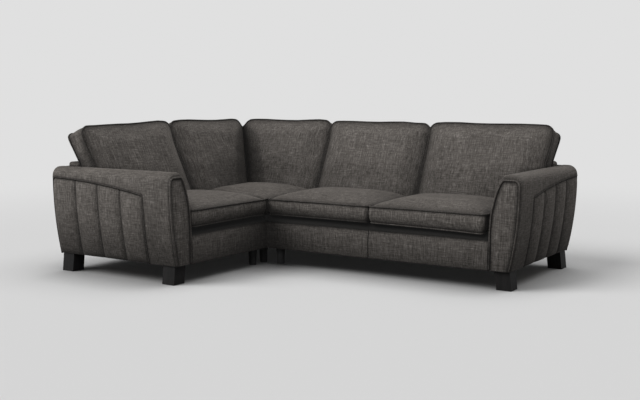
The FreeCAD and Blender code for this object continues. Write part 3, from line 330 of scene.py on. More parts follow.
class Look:
    """A material, with short ways to add its nodes; place is the vector that its patterns use."""

    def __init__(self, name):
        self.material = bpy.data.materials.new(name)
        self.material.use_nodes = True
        self.tree = self.material.node_tree
        self.shader = self.tree.nodes["Principled BSDF"]
        self.spots = self.add("ShaderNodeTexCoord", {})
        self.place = self.spots["Object"]

    def add(self, kind, inputs, **settings):
        return add_node(self.tree, kind, inputs, **settings)

    def math(self, operation, *values):
        return self.add("ShaderNodeMath", dict(enumerate(values)), operation=operation)[0]

    def vector(self, operation, *values, output="Vector"):
        return self.add("ShaderNodeVectorMath", dict(enumerate(values)), operation=operation)[output]

    def mapped(self, value, low=0.0, high=1.0, to_low=0.0, to_high=1.0, **settings):
        """One range spread over another."""
        inputs = {"Value": value, "From Min": low, "From Max": high, "To Min": to_low, "To Max": to_high}
        return self.add("ShaderNodeMapRange", inputs, **settings)["Result"]

    def clouds(self, scale, detail):
        return self.add("ShaderNodeTexNoise", {"Vector": self.place, "Scale": scale, "Detail": detail})["Fac"]

    def streaks(self, fine, coarse, axis, detail=2.0):
        """Noise drawn out along one axis, like a yarn with slubs."""
        scale = [fine, fine, fine]
        scale[axis] = coarse
        drawn = self.add("ShaderNodeMapping", {"Vector": self.place, "Scale": scale})["Vector"]
        return self.add("ShaderNodeTexNoise", {"Vector": drawn, "Scale": 1.0, "Detail": detail,
                                               "Roughness": 0.6})["Fac"]

    def ramp(self, factor, *stops):
        node = self.tree.nodes.new("ShaderNodeValToRGB")
        feed(self.tree, node, {"Fac": factor})
        elements = node.color_ramp.elements
        while len(elements) < len(stops):
            elements.new(0.5)
        for element, (place, colour) in zip(elements, stops):
            element.position = place
            element.color = (*colour, 1)
        return node.outputs["Color"]

    def bump(self, height, strength, distance):
        inputs = {"Height": height, "Strength": strength, "Distance": distance}
        return self.add("ShaderNodeBump", inputs)["Normal"]

    def hollow(self, reach, samples):
        """How open a place is: 1 in the open, less in a hollow."""
        return self.add("ShaderNodeAmbientOcclusion", {"Distance": reach}, samples=samples)["AO"]

    def shaded(self, inputs, self_glow=None):
        """Feeds the shader and gives the material; the glow is painted light, a faint emission that keeps its
        deepest shadow from pure black.
        """
        if self_glow is not None:
            inputs = {**inputs, "Emission Color": WHITE, "Emission Strength": self_glow}
        feed(self.tree, self.shader, inputs)
        return self.material


# Painted shade in hollows: ambient occlusion darkens the tweed's colour; their reach, the range of openness that
# counts and the tone in the deepest
HOLLOW_REACH = 0.55
HOLLOW_SKY = (0.52, 0.87)
HOLLOW_SHADE_TONE = 0.27
# The tone of the painted shade at its strongest along the marked lines
PAINTED_SEAM_SHADE_TONE = 0.22
# Painted light: a faint glow from the cloth, the lining and the floor keeps the deepest shadows from pure black,
# as in the photo
SELF_GLOW = 0.003
LINING_SELF_GLOW = 0.006
FLOOR_SELF_GLOW = 0.009
# Level and upright yarns show by these shares
YARN_WEIGHTS = (0.86, 0.86, 1.14)
TWEED_STOPS = (
    (0.0, (0.024, 0.021, 0.019)),
    (0.42, (0.092, 0.083, 0.075)),
    (0.72, (0.158, 0.144, 0.133)),
    (1.0, (0.300, 0.278, 0.260)),
)


def yarn_mix(look, facing, fine, coarse, detail):
    """Yarns along the two axes that lie in a face: one streaked noise per axis, weighed by the face's normal."""
    noises = [look.streaks(fine, coarse, axis, detail) for axis in range(3)]
    together = look.add("ShaderNodeCombineXYZ", dict(zip("XYZ", noises)))[0]
    return look.vector("DOT_PRODUCT", facing, look.vector("MULTIPLY", together, YARN_WEIGHTS), output="Value")


def tweed_material(name, tone=1.0, turn=(0.0, 0.0, 0.0)):
    """Charcoal tweed with slubs: a warp and a weft on each face, turned to lie along a leaning face.

    Painted shade darkens the cloth's colour along a seam attribute and in the hollows between the cushions, tone
    darkens the whole cloth for the shaded piping copies, and a faint painted glow lifts its deepest shadow.
    """
    look = Look(name)
    look.place, normal = [
        look.add("ShaderNodeVectorRotate", {"Vector": look.spots[kind], "Rotation": turn},
                 rotation_type="EULER_XYZ")[0]
        for kind in ("Object", "Normal")
    ]
    facing = look.vector("SUBTRACT", (1.0, 1.0, 1.0), look.vector("MULTIPLY", normal, normal))
    slubs = yarn_mix(look, facing, 180, 16, 2.0)
    threads = yarn_mix(look, facing, 560, 60, 1.0)
    yarns = look.math("ADD", slubs, look.math("MULTIPLY", threads, 0.4))
    colour = look.ramp(look.mapped(yarns, 0.90, 1.90),
                       *[(place, tuple(tone * c for c in shade)) for place, shade in TWEED_STOPS])
    mottled = look.mapped(look.clouds(5.0, 3.0), 0.3, 0.7, 0.90, 1.10)
    flecked = look.mapped(look.clouds(75.0, 2.0), 0.3, 0.7, 0.87, 1.13)
    # Painted shade along seams, edges and zones, from the seam attribute
    seam = look.mapped(look.add("ShaderNodeAttribute", {}, attribute_name="seam")["Fac"], to_low=1.0,
                       to_high=PAINTED_SEAM_SHADE_TONE)
    # Painted shade in hollows: ambient occlusion darkens the cloth's colour
    deep = look.mapped(look.hollow(HOLLOW_REACH, 6), *HOLLOW_SKY, HOLLOW_SHADE_TONE, 1.0)
    level = look.math("MULTIPLY", mottled, flecked)
    for factor in (seam, deep):
        level = look.math("MULTIPLY", level, factor)
    return look.shaded({
        "Base Color": look.vector("MULTIPLY", colour, level), "Normal": look.bump(yarns, 0.5, 0.0015),
        "Roughness": 0.92, "Specular IOR Level": 0.12, "Sheen Weight": 0.10, "Sheen Roughness": 0.35,
        "Sheen Tint": (1.0, 0.90, 0.82, 1),
    }, SELF_GLOW)


def cloth_material(name, dark, light, thread=900.0, self_glow=0.0):
    """A plain lining cloth with a fine cross weave; its glow is painted light, a faint emission that lifts its
    deepest shadow.
    """
    look = Look(name)
    weave = look.math("ADD", *[look.streaks(thread, thread / 8, axis, 1.0) for axis in (0, 1)])
    return look.shaded({
        "Base Color": look.ramp(look.mapped(weave, 0.7, 1.3), (0.0, dark), (1.0, light)),
        "Normal": look.bump(weave, 0.4, 0.0006), "Roughness": 0.9, "Specular IOR Level": 0.05,
    }, self_glow)


def wood_material(name, dark, light, axis=0, shine=0.4):
    """Straight-grained timber: growth bands drawn out along one axis."""
    look = Look(name)
    pores = look.streaks(420, 14, axis)
    grain = look.math("ADD", look.streaks(38, 2.2, axis, 3.0), pores)
    return look.shaded({
        "Base Color": look.ramp(look.mapped(grain, 0.72, 1.28), (0.0, dark), (1.0, light)),
        "Roughness": look.mapped(pores, to_low=0.5, to_high=0.75), "Normal": look.bump(pores, 0.25, 0.0006),
        "Specular IOR Level": shine,
    })


def ply_material(name):
    """Plywood: thin plies seen on the edges and calm grain on the faces."""
    look = Look(name)
    plies = look.add("ShaderNodeTexWave", {"Vector": look.place, "Scale": 55.0, "Distortion": 0.4},
                     bands_direction="DIAGONAL")["Fac"]
    grain = look.math("ADD", look.math("MULTIPLY", plies, 0.25), look.streaks(160, 8, 2, 3.0))
    colour = look.ramp(look.mapped(grain, 0.3, 0.95), (0.0, (0.30, 0.20, 0.11)), (1.0, (0.56, 0.41, 0.26)))
    return look.shaded({"Base Color": colour, "Roughness": 0.65})


def metal_material(name, colour, roughness):
    """Rolled steel with fine brushing and a little uneven oil."""
    look = Look(name)
    darker = tuple(0.6 * c for c in colour)
    return look.shaded({
        "Base Color": look.ramp(look.clouds(30.0, 3.0), (0.3, darker), (0.7, colour)), "Metallic": 1.0,
        "Roughness": look.mapped(look.streaks(900, 60, 0), to_low=roughness - 0.12, to_high=roughness + 0.12),
    })


def plastic_material(name, colour):
    """Moulded black plastic with a light grain."""
    look = Look(name)
    lighter = tuple(1.5 * c for c in colour)
    return look.shaded({
        "Base Color": look.ramp(look.clouds(22.0, 2.0), (0.3, colour), (0.7, lighter)),
        "Normal": look.bump(look.clouds(700.0, 2.0), 0.2, 0.0004), "Roughness": 0.55, "Specular IOR Level": 0.12,
    })


TWEED = tweed_material("tweed")
LEANING = {LONG: tweed_material("tweed_leaning_long", turn=(LEAN, 0.0, 0.0)),
           RETURN: tweed_material("tweed_leaning_return", turn=(0.0, LEAN, 0.0))}
# Painted shade: darker copies of the tweed for the piping, which is the same cloth as the cover
SHADED_TRIM = tweed_material("tweed_trim_painted_shade", tone=0.42)
SHADED_CORD = tweed_material("tweed_cord_painted_shade", tone=0.72)
LINING = cloth_material("platform_cloth", (0.008, 0.0075, 0.007), (0.021, 0.020, 0.019), self_glow=LINING_SELF_GLOW)
DUST = cloth_material("dust_cloth", (0.012, 0.012, 0.012), (0.035, 0.035, 0.035), 700.0)
WEB = cloth_material("webbing", (0.42, 0.36, 0.26), (0.62, 0.55, 0.42), 500.0)
TIMBER = wood_material("frame_timber", (0.42, 0.27, 0.14), (0.66, 0.49, 0.31))
DARK_WOOD = wood_material("dark_wood", (0.006, 0.006, 0.006), (0.016, 0.015, 0.015), axis=2, shine=0.12)
PLY = ply_material("plywood")
SPRING = metal_material("spring_steel", (0.30, 0.30, 0.31), 0.38)
FITTING = metal_material("zinc_fittings", (0.60, 0.60, 0.58), 0.42)
PLASTIC = plastic_material("dark_plastic", (0.012, 0.012, 0.012))
FOOT_PLASTIC = plastic_material("foot_plastic", (0.040, 0.040, 0.040))

NODE_LOOKS = (
    (TIMBER, ("arm_base_boards", "arm_rails", "back_bottom_rails", "back_posts", "corner_blocks", "corner_post",
              "end_rails", "long_cross_rail", "seat_back_rails", "seat_front_rails", "top_rails")),
    (FITTING, ("arm_bolts", "connector_claws", "connector_studs", "foot_bolts")),
    (PLY, ("arm_end_boards",)),
    (DARK_WOOD, ("block_feet",)),
    (SPRING, ("seat_springs",)),
    (PLASTIC, ("spring_clips",)),
    (FOOT_PLASTIC, ("support_feet",)),
)
for node_look, node_names in NODE_LOOKS:
    for node_name in node_names:
        for node_slot in frame["nodes"][node_name].material_slots:
            node_slot.material = node_look


# Outlines with drawn-in sides and round corners
ARC_STEPS = 5


def outline_sides(corners, radii, draws, counts):
    """Four sides in order, each from the middle of one corner's arc to the middle of the next one's."""
    corners = [np.array(c, float) for c in corners]
    arcs = []
    for i, here in enumerate(corners):
        before = corners[i - 1] - here
        after = corners[(i + 1) % 4] - here
        before /= np.linalg.norm(before)
        after /= np.linalg.norm(after)
        half = math.acos(max(-1, min(1, before.dot(after)))) / 2
        centre = here + (before + after) / np.linalg.norm(before + after) * radii[i] / math.sin(half)
        a = here + before * radii[i] / math.tan(half) - centre
        b = here + after * radii[i] / math.tan(half) - centre
        angle = math.acos(max(-1, min(1, a.dot(b) / (np.linalg.norm(a) * np.linalg.norm(b)))))
        t = np.linspace(0, 1, 2 * ARC_STEPS + 1)[:, None]
        arcs.append(centre + (np.sin((1 - t) * angle) * a + np.sin(t * angle) * b) / math.sin(angle))
    middle = sum(corners) / 4
    sides = []
    for i in range(4):
        following = arcs[(i + 1) % 4]
        start = arcs[i][-1]
        end = following[0]
        t = np.linspace(0, 1, counts[i % 2] + 1)[:, None]
        along = (end - start) / np.linalg.norm(end - start)
        inward = np.array([-along[1], along[0]])
        if (middle - start).dot(inward) < 0:
            inward = -inward
        line = start + (end - start) * t + inward * draws[i] * 4 * t * (1 - t)
        sides.append(np.vstack([arcs[i][ARC_STEPS:-1], line, following[1:ARC_STEPS + 1]]))
    return sides


def filled(sides):
    """A grid over an outline of four sides, with each point's distances to the four sides."""
    a, b, c, d = sides[0], sides[1], sides[2][::-1], sides[3][::-1]
    u, v = [lengths_along(line) / lengths_along(line)[-1] for line in (a, b)]
    u = u[None, :, None]
    v = v[:, None, None]
    grid = ((1 - v) * a[None] + v * c[None] + (1 - u) * d[:, None] + u * b[:, None]
            - (1 - u) * (1 - v) * a[0] - u * (1 - v) * a[-1] - u * v * c[-1] - (1 - u) * v * c[0])
    return grid, [np.linalg.norm(grid - line, axis=2) for line in (a[None], b[:, None], c[None], d[:, None])]


def rise(reach, spans):
    """Share of the crown at a point from its distances to the four sides."""
    share = 1.0
    for distance, span in zip(reach, spans):
        share = share * (1 - fading(distance, span))
    return share


# The section of the arms: a barrel-shaped outer face, and an inner face that leans over above the seats
ARM_INNER = 0.184
BARREL = 2.000
WIDEST = 0.569
OUTER_ROUND = 0.058
INNER_ROUND = 0.035
LEAST_ROUNDS = (0.012, 0.004)
# The inner edge of the facing lies further in below the lean: its share of the inset at two heights
FOOT_HEIGHTS = (0.32, 0.50)
FOOT_SHARES = (0.28, 1.0)
LEAN_RADIUS = 0.470
LEAN_HEIGHT = 0.400
ROUND_HEIGHT = 0.622
ROUND_REACH = 0.435
ROUND_RISE = 0.222


def belly_line(z):
    """Inset of the barrel-shaped outer face at a height."""
    below = np.minimum(z, WIDEST)
    return BARREL - np.sqrt(BARREL ** 2 - (WIDEST - below) ** 2)


def arm_outer(z):
    """Inset of the arm's outer contour at a height, with its rounded top."""
    shoulder = ARM_TOP - OUTER_ROUND
    if z <= shoulder:
        return float(belly_line(z)) + UNIT_GAP
    return OUTER_ROUND - math.sqrt(max(0.0, OUTER_ROUND ** 2 - (z - shoulder) ** 2)) + UNIT_GAP


def arm_inner_line(z):
    """Inset of the arm's inner contour at a height, from its outer face."""
    lean_u = ARM_INNER - LEAN_RADIUS
    round_u = lean_u + math.sqrt(ROUND_REACH ** 2 - ROUND_RISE ** 2)
    tangent = LEAN_HEIGHT + LEAN_RADIUS * (ROUND_RISE / ROUND_REACH)
    z = np.asarray(z, float)
    lean = lean_u + np.sqrt(np.clip(LEAN_RADIUS ** 2 - (z - LEAN_HEIGHT) ** 2, 0, None))
    top = round_u + np.sqrt(np.clip(INNER_ROUND ** 2 - (z - ROUND_HEIGHT) ** 2, 0, None))
    line = np.where(z < LEAN_HEIGHT, ARM_INNER, np.where(z < tangent, lean, top))
    return np.where(z > ARM_TOP, 0.0, line)


def arm_profile(low, offsets=(0.0, 0.0, 0.0)):
    """The arm's section as (u, z) points from the outer foot over the top to the inner foot."""
    outer, inner, top = offsets
    crest = ARM_TOP - top
    outer_round = max(OUTER_ROUND - 4 * outer, LEAST_ROUNDS[0])
    inner_round = max(INNER_ROUND - inner, LEAST_ROUNDS[1])
    lean_u = ARM_INNER - LEAN_RADIUS
    lean_r = LEAN_RADIUS - inner
    round_z = crest - inner_round
    round_u = lean_u + math.sqrt((lean_r - inner_round) ** 2 - (round_z - LEAN_HEIGHT) ** 2)
    angle = math.atan2(round_z - LEAN_HEIGHT, round_u - lean_u)

    def arc(centre_u, centre_z, radius, start, end, count):
        a = np.linspace(start, end, count)[1:]
        return centre_u + radius * np.cos(a), centre_z + radius * np.sin(a)

    rise_z = np.linspace(low, crest - outer_round, max(2, int((crest - outer_round - low) / 0.010)))
    crown_u = np.linspace(outer + outer_round, max(round_u, outer + outer_round + 0.001), 6)[1:]
    down = np.linspace(LEAN_HEIGHT, FRAME_BOTTOM, 24)[1:]
    line = np.hstack([
        (outer + belly_line(rise_z), rise_z),
        arc(outer + outer_round, crest - outer_round, outer_round, math.pi, math.pi / 2, 9),
        (crown_u, np.full(len(crown_u), crest)),
        arc(round_u, round_z, inner_round, math.pi / 2, angle, 8),
        arc(lean_u, LEAN_HEIGHT, lean_r, angle, 0, 24),
        (np.full(len(down), ARM_INNER - inner), down),
    ]).T
    fuller = inner * (1 - np.interp(line[:, 1], FOOT_HEIGHTS, FOOT_SHARES))
    line[:, 0] += np.where(line[:, 0] > ARM_INNER / 2, fuller, 0.0)
    return line


# Cushions
SEAT_EDGE = 0.427
CUSHION_FRONT = 0.975
CUSHION_FOOT = PLATFORM_TOP + 0.0003
BACK_THICK = 0.134
BACK_CROWN = 0.028
# Room of a back cushion's rear seam before the inside back, and how much of it the rear panel may fill
BACK_ROOM = 0.0047
BACK_PRESS = 0.0045
RETURN_BACK_SPLIT = 0.971
LONG_BACK_SPLIT = 0.946
LONG_BACK_SPLIT_B = 1.732
BACK_END = 0.115
ARM_SQUEEZE = 0.25
ROWS_UP = 42
SEAT_END = {RETURN: 0.185, LONG: 0.205}
CREST_DROP = 0.009
ARM_ROOM = 0.0015
ARM_LEAST_ROOM = 0.0012
FREE_FRONT = 0.012
FREE_CROWN = 0.012
FREE_HEIGHT = 0.50
FREE_REACH = 0.14
SAG_START = 0.925
SAG_REACH = 0.045
SIDE_RECESS = 0.026
SIDE_REACH = 0.050
MITRE_RECESS = 0.034
MITRE_REACH = 0.060
RECESS_TOP = 0.16
FRONT_RADIUS = 0.052
REAR_RADIUS = 0.038
REAR_RISE = 0.006
CROWN_SPAN = 0.058
SHORT_SPAN = 0.021
BELLY_SPAN = 0.05
CORD_OUT = 0.0022
# The covers' swelling: cloth under pressure with the seams held, capped and kept to a slope from the seams
SWELL_FRAMES = 16
SWELL_PRESSURE = 4.0
SWELL_EASE = -0.012
SWELL_ROOM = 0.008
SWELL_CAP = 0.022
SMOOTH_ROUNDS = 6


class Cushion:
    """A boxed cushion on a side; one without a start begins at the corner's mitre, near the class's value."""

    def __init__(self, side, start, end, seed):
        self.side, self.start, self.end, self.seed = side, start, end, seed
        self.counts = (int((end - (self.mitre if start is None else start)) / MESH_STEP), ROWS_UP)


class Seat(Cushion):
    """A boxed seat cushion in (s, v, z)."""

    mitre = 0.42
    corner_radius = 0.034
    pull = 0.007
    low = CUSHION_FOOT + 0.007
    high = SEAT_EDGE
    crown = 0.046 - SWELL_ROOM
    tuck = 0.010
    belly = 0.0
    bulge = 0.012
    slope = 0.35
    shade_above = SEAT_EDGE + 0.002
    cloth = TWEED

    def __init__(self, side, start, end, seed, droop=0.0):
        super().__init__(side, start, end, seed)
        self.droop = droop
        self.spans = [CROWN_SPAN, CROWN_SPAN, SHORT_SPAN, SHORT_SPAN if start is None else CROWN_SPAN]
        self.front_limit = CUSHION_FRONT - GAP if start is None else CUSHION_FRONT + FREE_FRONT
        # The drooping right seat's foot piping takes the lighter cord copy as a painted highlight, the others the
        # darker trim copy as painted shade
        self.foot_cord = SHADED_CORD if droop else SHADED_TRIM

    def rear(self, z):
        return lean_front(z) + BACK_ROOM / COS + (BACK_THICK + BACK_CROWN + 2 * GAP) / COS

    def sides(self, z, out=0.0):
        out = out - self.tuck * (self.high - z) / (self.high - self.low)
        back = self.rear(z) - out
        first = back if self.start is None else self.start - out
        last = self.end + out
        front = CUSHION_FRONT + out - 0.002
        corners = [(first, front), (last, front), (last, back), (first, back)]
        draws = [self.pull * share for share in (1, 1, 0.3, 0.3 if self.start is None else 1)]
        return outline_sides(corners, [self.corner_radius + out] * 4, draws, self.counts)

    def sag(self, s, v, z):
        """How far the front's lower seam hangs down before the platform, more so towards the end."""
        if not self.droop:
            return 0.0
        along = share_of(s, self.start, self.end - self.start)
        ahead = share_of(v, SAG_START, SAG_REACH)
        low = np.clip((self.high - z) / (self.high - self.low), 0, 1)
        return self.droop * along * ahead * low

    def place(self, flat, z):
        s, v = flat[..., 0], flat[..., 1]
        return at(self.side, s, v, z - self.sag(s, v, z))

    def extra(self, flat):
        return 0.0

    def cleared(self, s, v, z):
        """The same points, kept out of the platform, the back cushions and the neighbours."""
        z = np.maximum(z, CUSHION_FOOT - self.sag(s, v, z))
        v = np.clip(v, self.rear(z), self.front_limit)
        return np.clip(s, self.rear(z) if self.start is None else self.start, self.end), v, z


class Back(Cushion):
    """A boxed back cushion in (s, h up the lean, t forward of its rear piping)."""

    mitre = 0.30
    foot_radius = 0.020
    pull = 0.006
    low = 0.0
    high = BACK_THICK
    crown = BACK_CROWN - SWELL_ROOM
    spans = [0.075] * 4
    belly = 0.002
    bulge = 0.003
    slope = 0.14
    shade_above = 0.0
    foot_cord = SHADED_TRIM
    rear = lean_front(CUSHION_FOOT) + BACK_ROOM / COS
    top = (OVERALL - CUSHION_FOOT - (BACK_THICK - CREST_DROP) * SIN) / COS

    def __init__(self, side, start, end, seed, crest, at_arm=False):
        super().__init__(side, start, end, seed)
        self.crest = np.array(crest) / 1000
        self.at_arm = at_arm
        self.cloth = LEANING[side]

    def depth(self, h, t):
        return self.rear - h * SIN + t * COS

    def sides(self, t, out=0.0):
        low = -t * TAN - out
        forward = min(max(t / BACK_THICK, 0.0), 1.0)
        high = self.top + out + REAR_RISE * (1 - forward)
        last = self.end + out
        if self.start is None:
            low_start, high_start = [self.depth(h, t) + GAP - out for h in (low, high)]
        else:
            low_start = high_start = self.start - out
        corners = [(low_start, low), (last, low), (last, high), (high_start, high)]
        top_radius = REAR_RADIUS + (FRONT_RADIUS - REAR_RADIUS) * forward + out
        radii = [self.foot_radius + out] * 2 + [top_radius] * 2
        sides = outline_sides(corners, radii, [0.0, self.pull, 0.002, self.pull], self.counts)
        top = sides[2]
        share = (top[:, 0] - top[:, 0].min()) / (top[:, 0].max() - top[:, 0].min())
        top[:, 1] += np.interp(share, np.linspace(0, 1, len(self.crest)), self.crest)
        return sides

    def extra(self, flat):
        return self.free_crown(flat[..., 1])

    def free_crown(self, h):
        """More crown above the seat cushions, where nothing stands before the cushion."""
        height = CUSHION_FOOT + h * COS + BACK_THICK * SIN
        return FREE_CROWN * eased(share_of(height, FREE_HEIGHT, FREE_REACH))

    def overhang(self, z):
        """How far the end tucks in at the arm's top and reaches out above it."""
        return np.interp(z, (ARM_TOP - 0.080, ARM_TOP + 0.020, ARM_TOP + 0.150), (0.0, -0.009, 0.007))

    def recess(self, s, h, t):
        """How far the front seam falls back beside a neighbour, less so at the top."""
        depth = SIDE_RECESS * (0.35 + 0.65 * eased(share_of(self.top - h, 0, RECESS_TOP)))
        fall = depth * fading(self.end - s, SIDE_REACH)
        if self.start is None:
            fall = fall + MITRE_RECESS * fading(s - self.depth(h, t), MITRE_REACH)
        else:
            fall = fall + depth * fading(s - self.start, SIDE_REACH)
        return fall * share_of(t, 0, BACK_THICK)

    def place(self, flat, t):
        s, h = flat[..., 0], flat[..., 1]
        fall = self.recess(s, h, t)
        if self.start is None:
            s = s - fall * COS * fading(s - self.depth(h, t), MITRE_REACH)
        t = t - fall
        z = CUSHION_FOOT + h * COS + t * SIN
        if self.at_arm:
            squeeze = np.maximum(BACK_END, arm_inner_line(z) + ARM_ROOM) - BACK_END
            beside = share_of(s, SIDE_END[self.side] - BACK_END - ARM_SQUEEZE, ARM_SQUEEZE)
            s = s + (self.overhang(z) - squeeze) * eased(beside)
        return at(self.side, s, self.depth(h, t), z)

    def cleared(self, s, v, z):
        """The same points, kept behind the seats, off the inside back, the arm and the neighbours."""
        t = (z - CUSHION_FOOT) * SIN + (v - self.rear) * COS
        h = (z - CUSHION_FOOT) * COS - (v - self.rear) * SIN
        t = np.clip(t, -BACK_PRESS, BACK_THICK + BACK_CROWN + self.free_crown(h))
        z = np.maximum(CUSHION_FOOT + h * COS + t * SIN, CUSHION_FOOT)
        v = self.depth(h, t)
        s = np.maximum(s, v + GAP if self.start is None else self.start)
        end = self.end
        if self.at_arm:
            end = SIDE_END[self.side] - np.maximum(BACK_END, arm_inner_line(z) + ARM_LEAST_ROOM) + self.overhang(z)
        return np.minimum(s, end), v, z


# Each cushion's body and form: side, start and end along it (no start at the mitred corner) and seed,
# then a seat's droop, or a back's crest line in millimetres and whether it ends at an arm
CUSHIONS = (
    ("return_seat", Seat(RETURN, CUSHION_FRONT + GAP, SIDE_END[RETURN] - SEAT_END[RETURN], 1)),
    ("corner_seat", Seat(LONG, None, CUSHION_FRONT - GAP, 2)),
    ("middle_seat", Seat(LONG, CUSHION_FRONT + GAP, LONG_SPLIT - GAP, 3)),
    ("right_seat", Seat(LONG, LONG_SPLIT + GAP, SIDE_END[LONG] - SEAT_END[LONG], 4, 0.015)),
    ("left_back", Back(RETURN, RETURN_BACK_SPLIT + GAP, SIDE_END[RETURN] - BACK_END, 5,
                       (6, 13, 9, 4, 1, 1, -1, -4, -4), True)),
    ("corner_left_back", Back(RETURN, None, RETURN_BACK_SPLIT - GAP, 6, (3, 8, 5, 3, 5, 9, 13, 13, 6))),
    ("corner_rear_back", Back(LONG, None, LONG_BACK_SPLIT - GAP, 7, (3, 6, 6, 3, 1, 1, 6, 10, 4))),
    ("middle_back", Back(LONG, LONG_BACK_SPLIT + GAP, LONG_BACK_SPLIT_B - GAP, 8, (0, 2, 2, 0, 0, 3, 4, -3, -4))),
    ("right_back", Back(LONG, LONG_BACK_SPLIT_B + GAP, SIDE_END[LONG] - BACK_END, 9,
                        (0, 6, 7, 3, 2, 3, 4, 2, -2), True)),
)


def seam_ring(form, level, out):
    """The cushion's outline at a level, as a closed line that lies further out."""
    return form.place(np.vstack([side[:-1] for side in form.sides(level, out)]), level)


def cushion_patches(form):
    """Two crowned panels and a boxed border between them; also the two seam lines."""
    flat, reach = filled(form.sides(form.high))
    unevenness = soft(np.dstack([flat, np.zeros(flat.shape[:2])]), 6.0, 0.0045, form.seed)
    front = form.place(flat, form.high + (form.crown + form.extra(flat) + unevenness) * rise(reach, form.spans))
    flat, reach = filled(form.sides(form.low))
    rear = form.place(flat, form.low - form.belly * rise(reach, [BELLY_SPAN] * 4))
    steps = max(6, int((form.high - form.low) / MESH_STEP))
    rows = []
    for k in range(steps + 1):
        t = k / steps
        out = form.bulge * math.sin(math.pi * t) ** 0.7
        rows.append(seam_ring(form, form.low + (form.high - form.low) * t, out))
    return [(front, False), (rear, False), (np.stack(rows), True)], [rows[0], rows[-1]]


def swell(pieces):
    """Runs the cloth of all the pieces together and gives each its new points."""
    for obj, seams in pieces:
        held = obj.vertex_groups.new(name="held")
        distances = line_distances(coordinates(obj), seams)
        held.add([i for i, distance in enumerate(distances) if distance < 0.0004], 1.0, "REPLACE")
        cloth = obj.modifiers.new("swelling", "CLOTH")
        settings = cloth.settings
        settings.quality = 5
        settings.use_pressure = True
        settings.uniform_pressure_force = SWELL_PRESSURE
        settings.vertex_group_mass = "held"
        settings.shrink_min = SWELL_EASE
        settings.bending_stiffness = 2.0
        settings.effector_weights.gravity = 0.0
        cloth.point_cache.frame_start = 1
        cloth.point_cache.frame_end = SWELL_FRAMES
    for number in range(1, SWELL_FRAMES + 1):
        bpy.context.scene.frame_set(number)
    depsgraph = bpy.context.evaluated_depsgraph_get()
    swollen = [coordinates(obj.evaluated_get(depsgraph)) for obj, _ in pieces]
    for obj, _ in pieces:
        obj.modifiers.remove(obj.modifiers["swelling"])
        obj.vertex_groups.remove(obj.vertex_groups["held"])
    bpy.context.scene.frame_set(1)
    return swollen


def smoothed(obj, way):
    """Movements of the points averaged with their neighbours', so that no ripples stay."""
    pairs = np.array([edge.vertices[:] for edge in obj.data.edges])
    ends = np.concatenate([pairs, pairs[:, ::-1]])
    count = np.maximum(np.bincount(ends[:, 0], minlength=len(way)), 1)[:, None]
    for _ in range(SMOOTH_ROUNDS):
        total = np.zeros_like(way)
        np.add.at(total, ends[:, 0], way[ends[:, 1]])
        way = 0.5 * way + 0.5 * total / count
    return way


def capped(obj, before, after, seams, slope):
    """The new points, held to the cap and to a gentle rise from the seams."""
    most = np.minimum(SWELL_CAP, slope * np.array(line_distances(before, seams)))
    way = smoothed(obj, after - before)
    length = np.linalg.norm(way, axis=1)
    return before + way * np.minimum(1, most / np.maximum(length, 1e-9))[:, None]


def subdivide(obj):
    """One subdivision, applied to the mesh."""
    modifier = obj.modifiers.new("finer", "SUBSURF")
    modifier.levels = 1
    modifier.render_levels = 1
    finer = bpy.data.meshes.new_from_object(obj.evaluated_get(bpy.context.evaluated_depsgraph_get()))
    obj.modifiers.remove(modifier)
    obj.data = finer


def make_cushions():
    objects = []
    lines = []
    for body, form in CUSHIONS:
        name = body + "_cushion"
        patches, seams = cushion_patches(form)
        objects.append(piece(name, patches, form.cloth, replaced=(name + "_cover", name + "_core"), body=body))
        lines.append(seams)
    before = [coordinates(obj) for obj in objects]
    after = swell(list(zip(objects, lines)))
    for obj, (body, form), seams, old, new in zip(objects, CUSHIONS, lines, before, after):
        points = capped(obj, old, new, seams, form.slope)
        points = at(form.side, *form.cleared(*side_coordinates(form.side, points)))
        obj.data.vertices.foreach_set("co", points.ravel())
        obj.data.update()
        subdivide(obj)
        # Painted shade along the seams, and a wider, lighter painted shade on the top panel above the given level
        paint_line_shade(obj, seams)
        paint_line_shade(obj, seams, 3 * SEAM_SHADE_WIDTH, 0.65, form.shade_above)
        name = body + "_cushion"
        # The piping in the darker trim copy, as painted shade
        piping(name + "_piping", seam_ring(form, form.high, CORD_OUT), True, SHADED_TRIM, body)
        piping(name + "_foot_piping", seam_ring(form, form.low, CORD_OUT), True, form.foot_cord, body)


make_cushions()


# Arms
FACING = 0.960
FLUTES = 4
FLUTE_STEPS = 16
FLUTE_FRONT = 0.752
FLUTE_WIDTH = (FLUTE_FRONT - PANEL) / FLUTES
# A channel's bed behind the outer face, and its height over the bed
FLUTE_BED = 0.012
FLUTE_PUFF = 0.018
FLUTE_SEAM = 0.011
SEAM_CORNER = 0.018
SLOPE_END = FLUTE_FRONT - SEAM_CORNER
SEAM_HEIGHTS = (0.594, 0.574, 0.524)
SEAM_DEPTH = 0.002
HEM = 0.010
PANEL_HEM = 0.006
FRONT_ROLL = 0.034
ROLL_START = FACING - 0.002 - FRONT_ROLL
# Insets of the facing at its outer edge, its inner edge and its top, and of the lines of painted shade beside its
# cord
FACING_INSETS = (0.007, 0.016, 0.029)
INNER_SHADE_LINE = 0.010
OUTER_SHADE_LINE = -0.007
FACING_POINTS = 120
FACING_SET = 0.004
FACING_CROWN = 0.008
FACING_CORD = 0.0056
SEAM_CORD = 0.0052
SPINE_TOP = 0.54
ARM_POINTS = 150
RIM_STEP = 0.005
# The shade on the front zone below the seam's corner
ZONE_AHEAD = 0.11
ZONE_TOP = 0.46


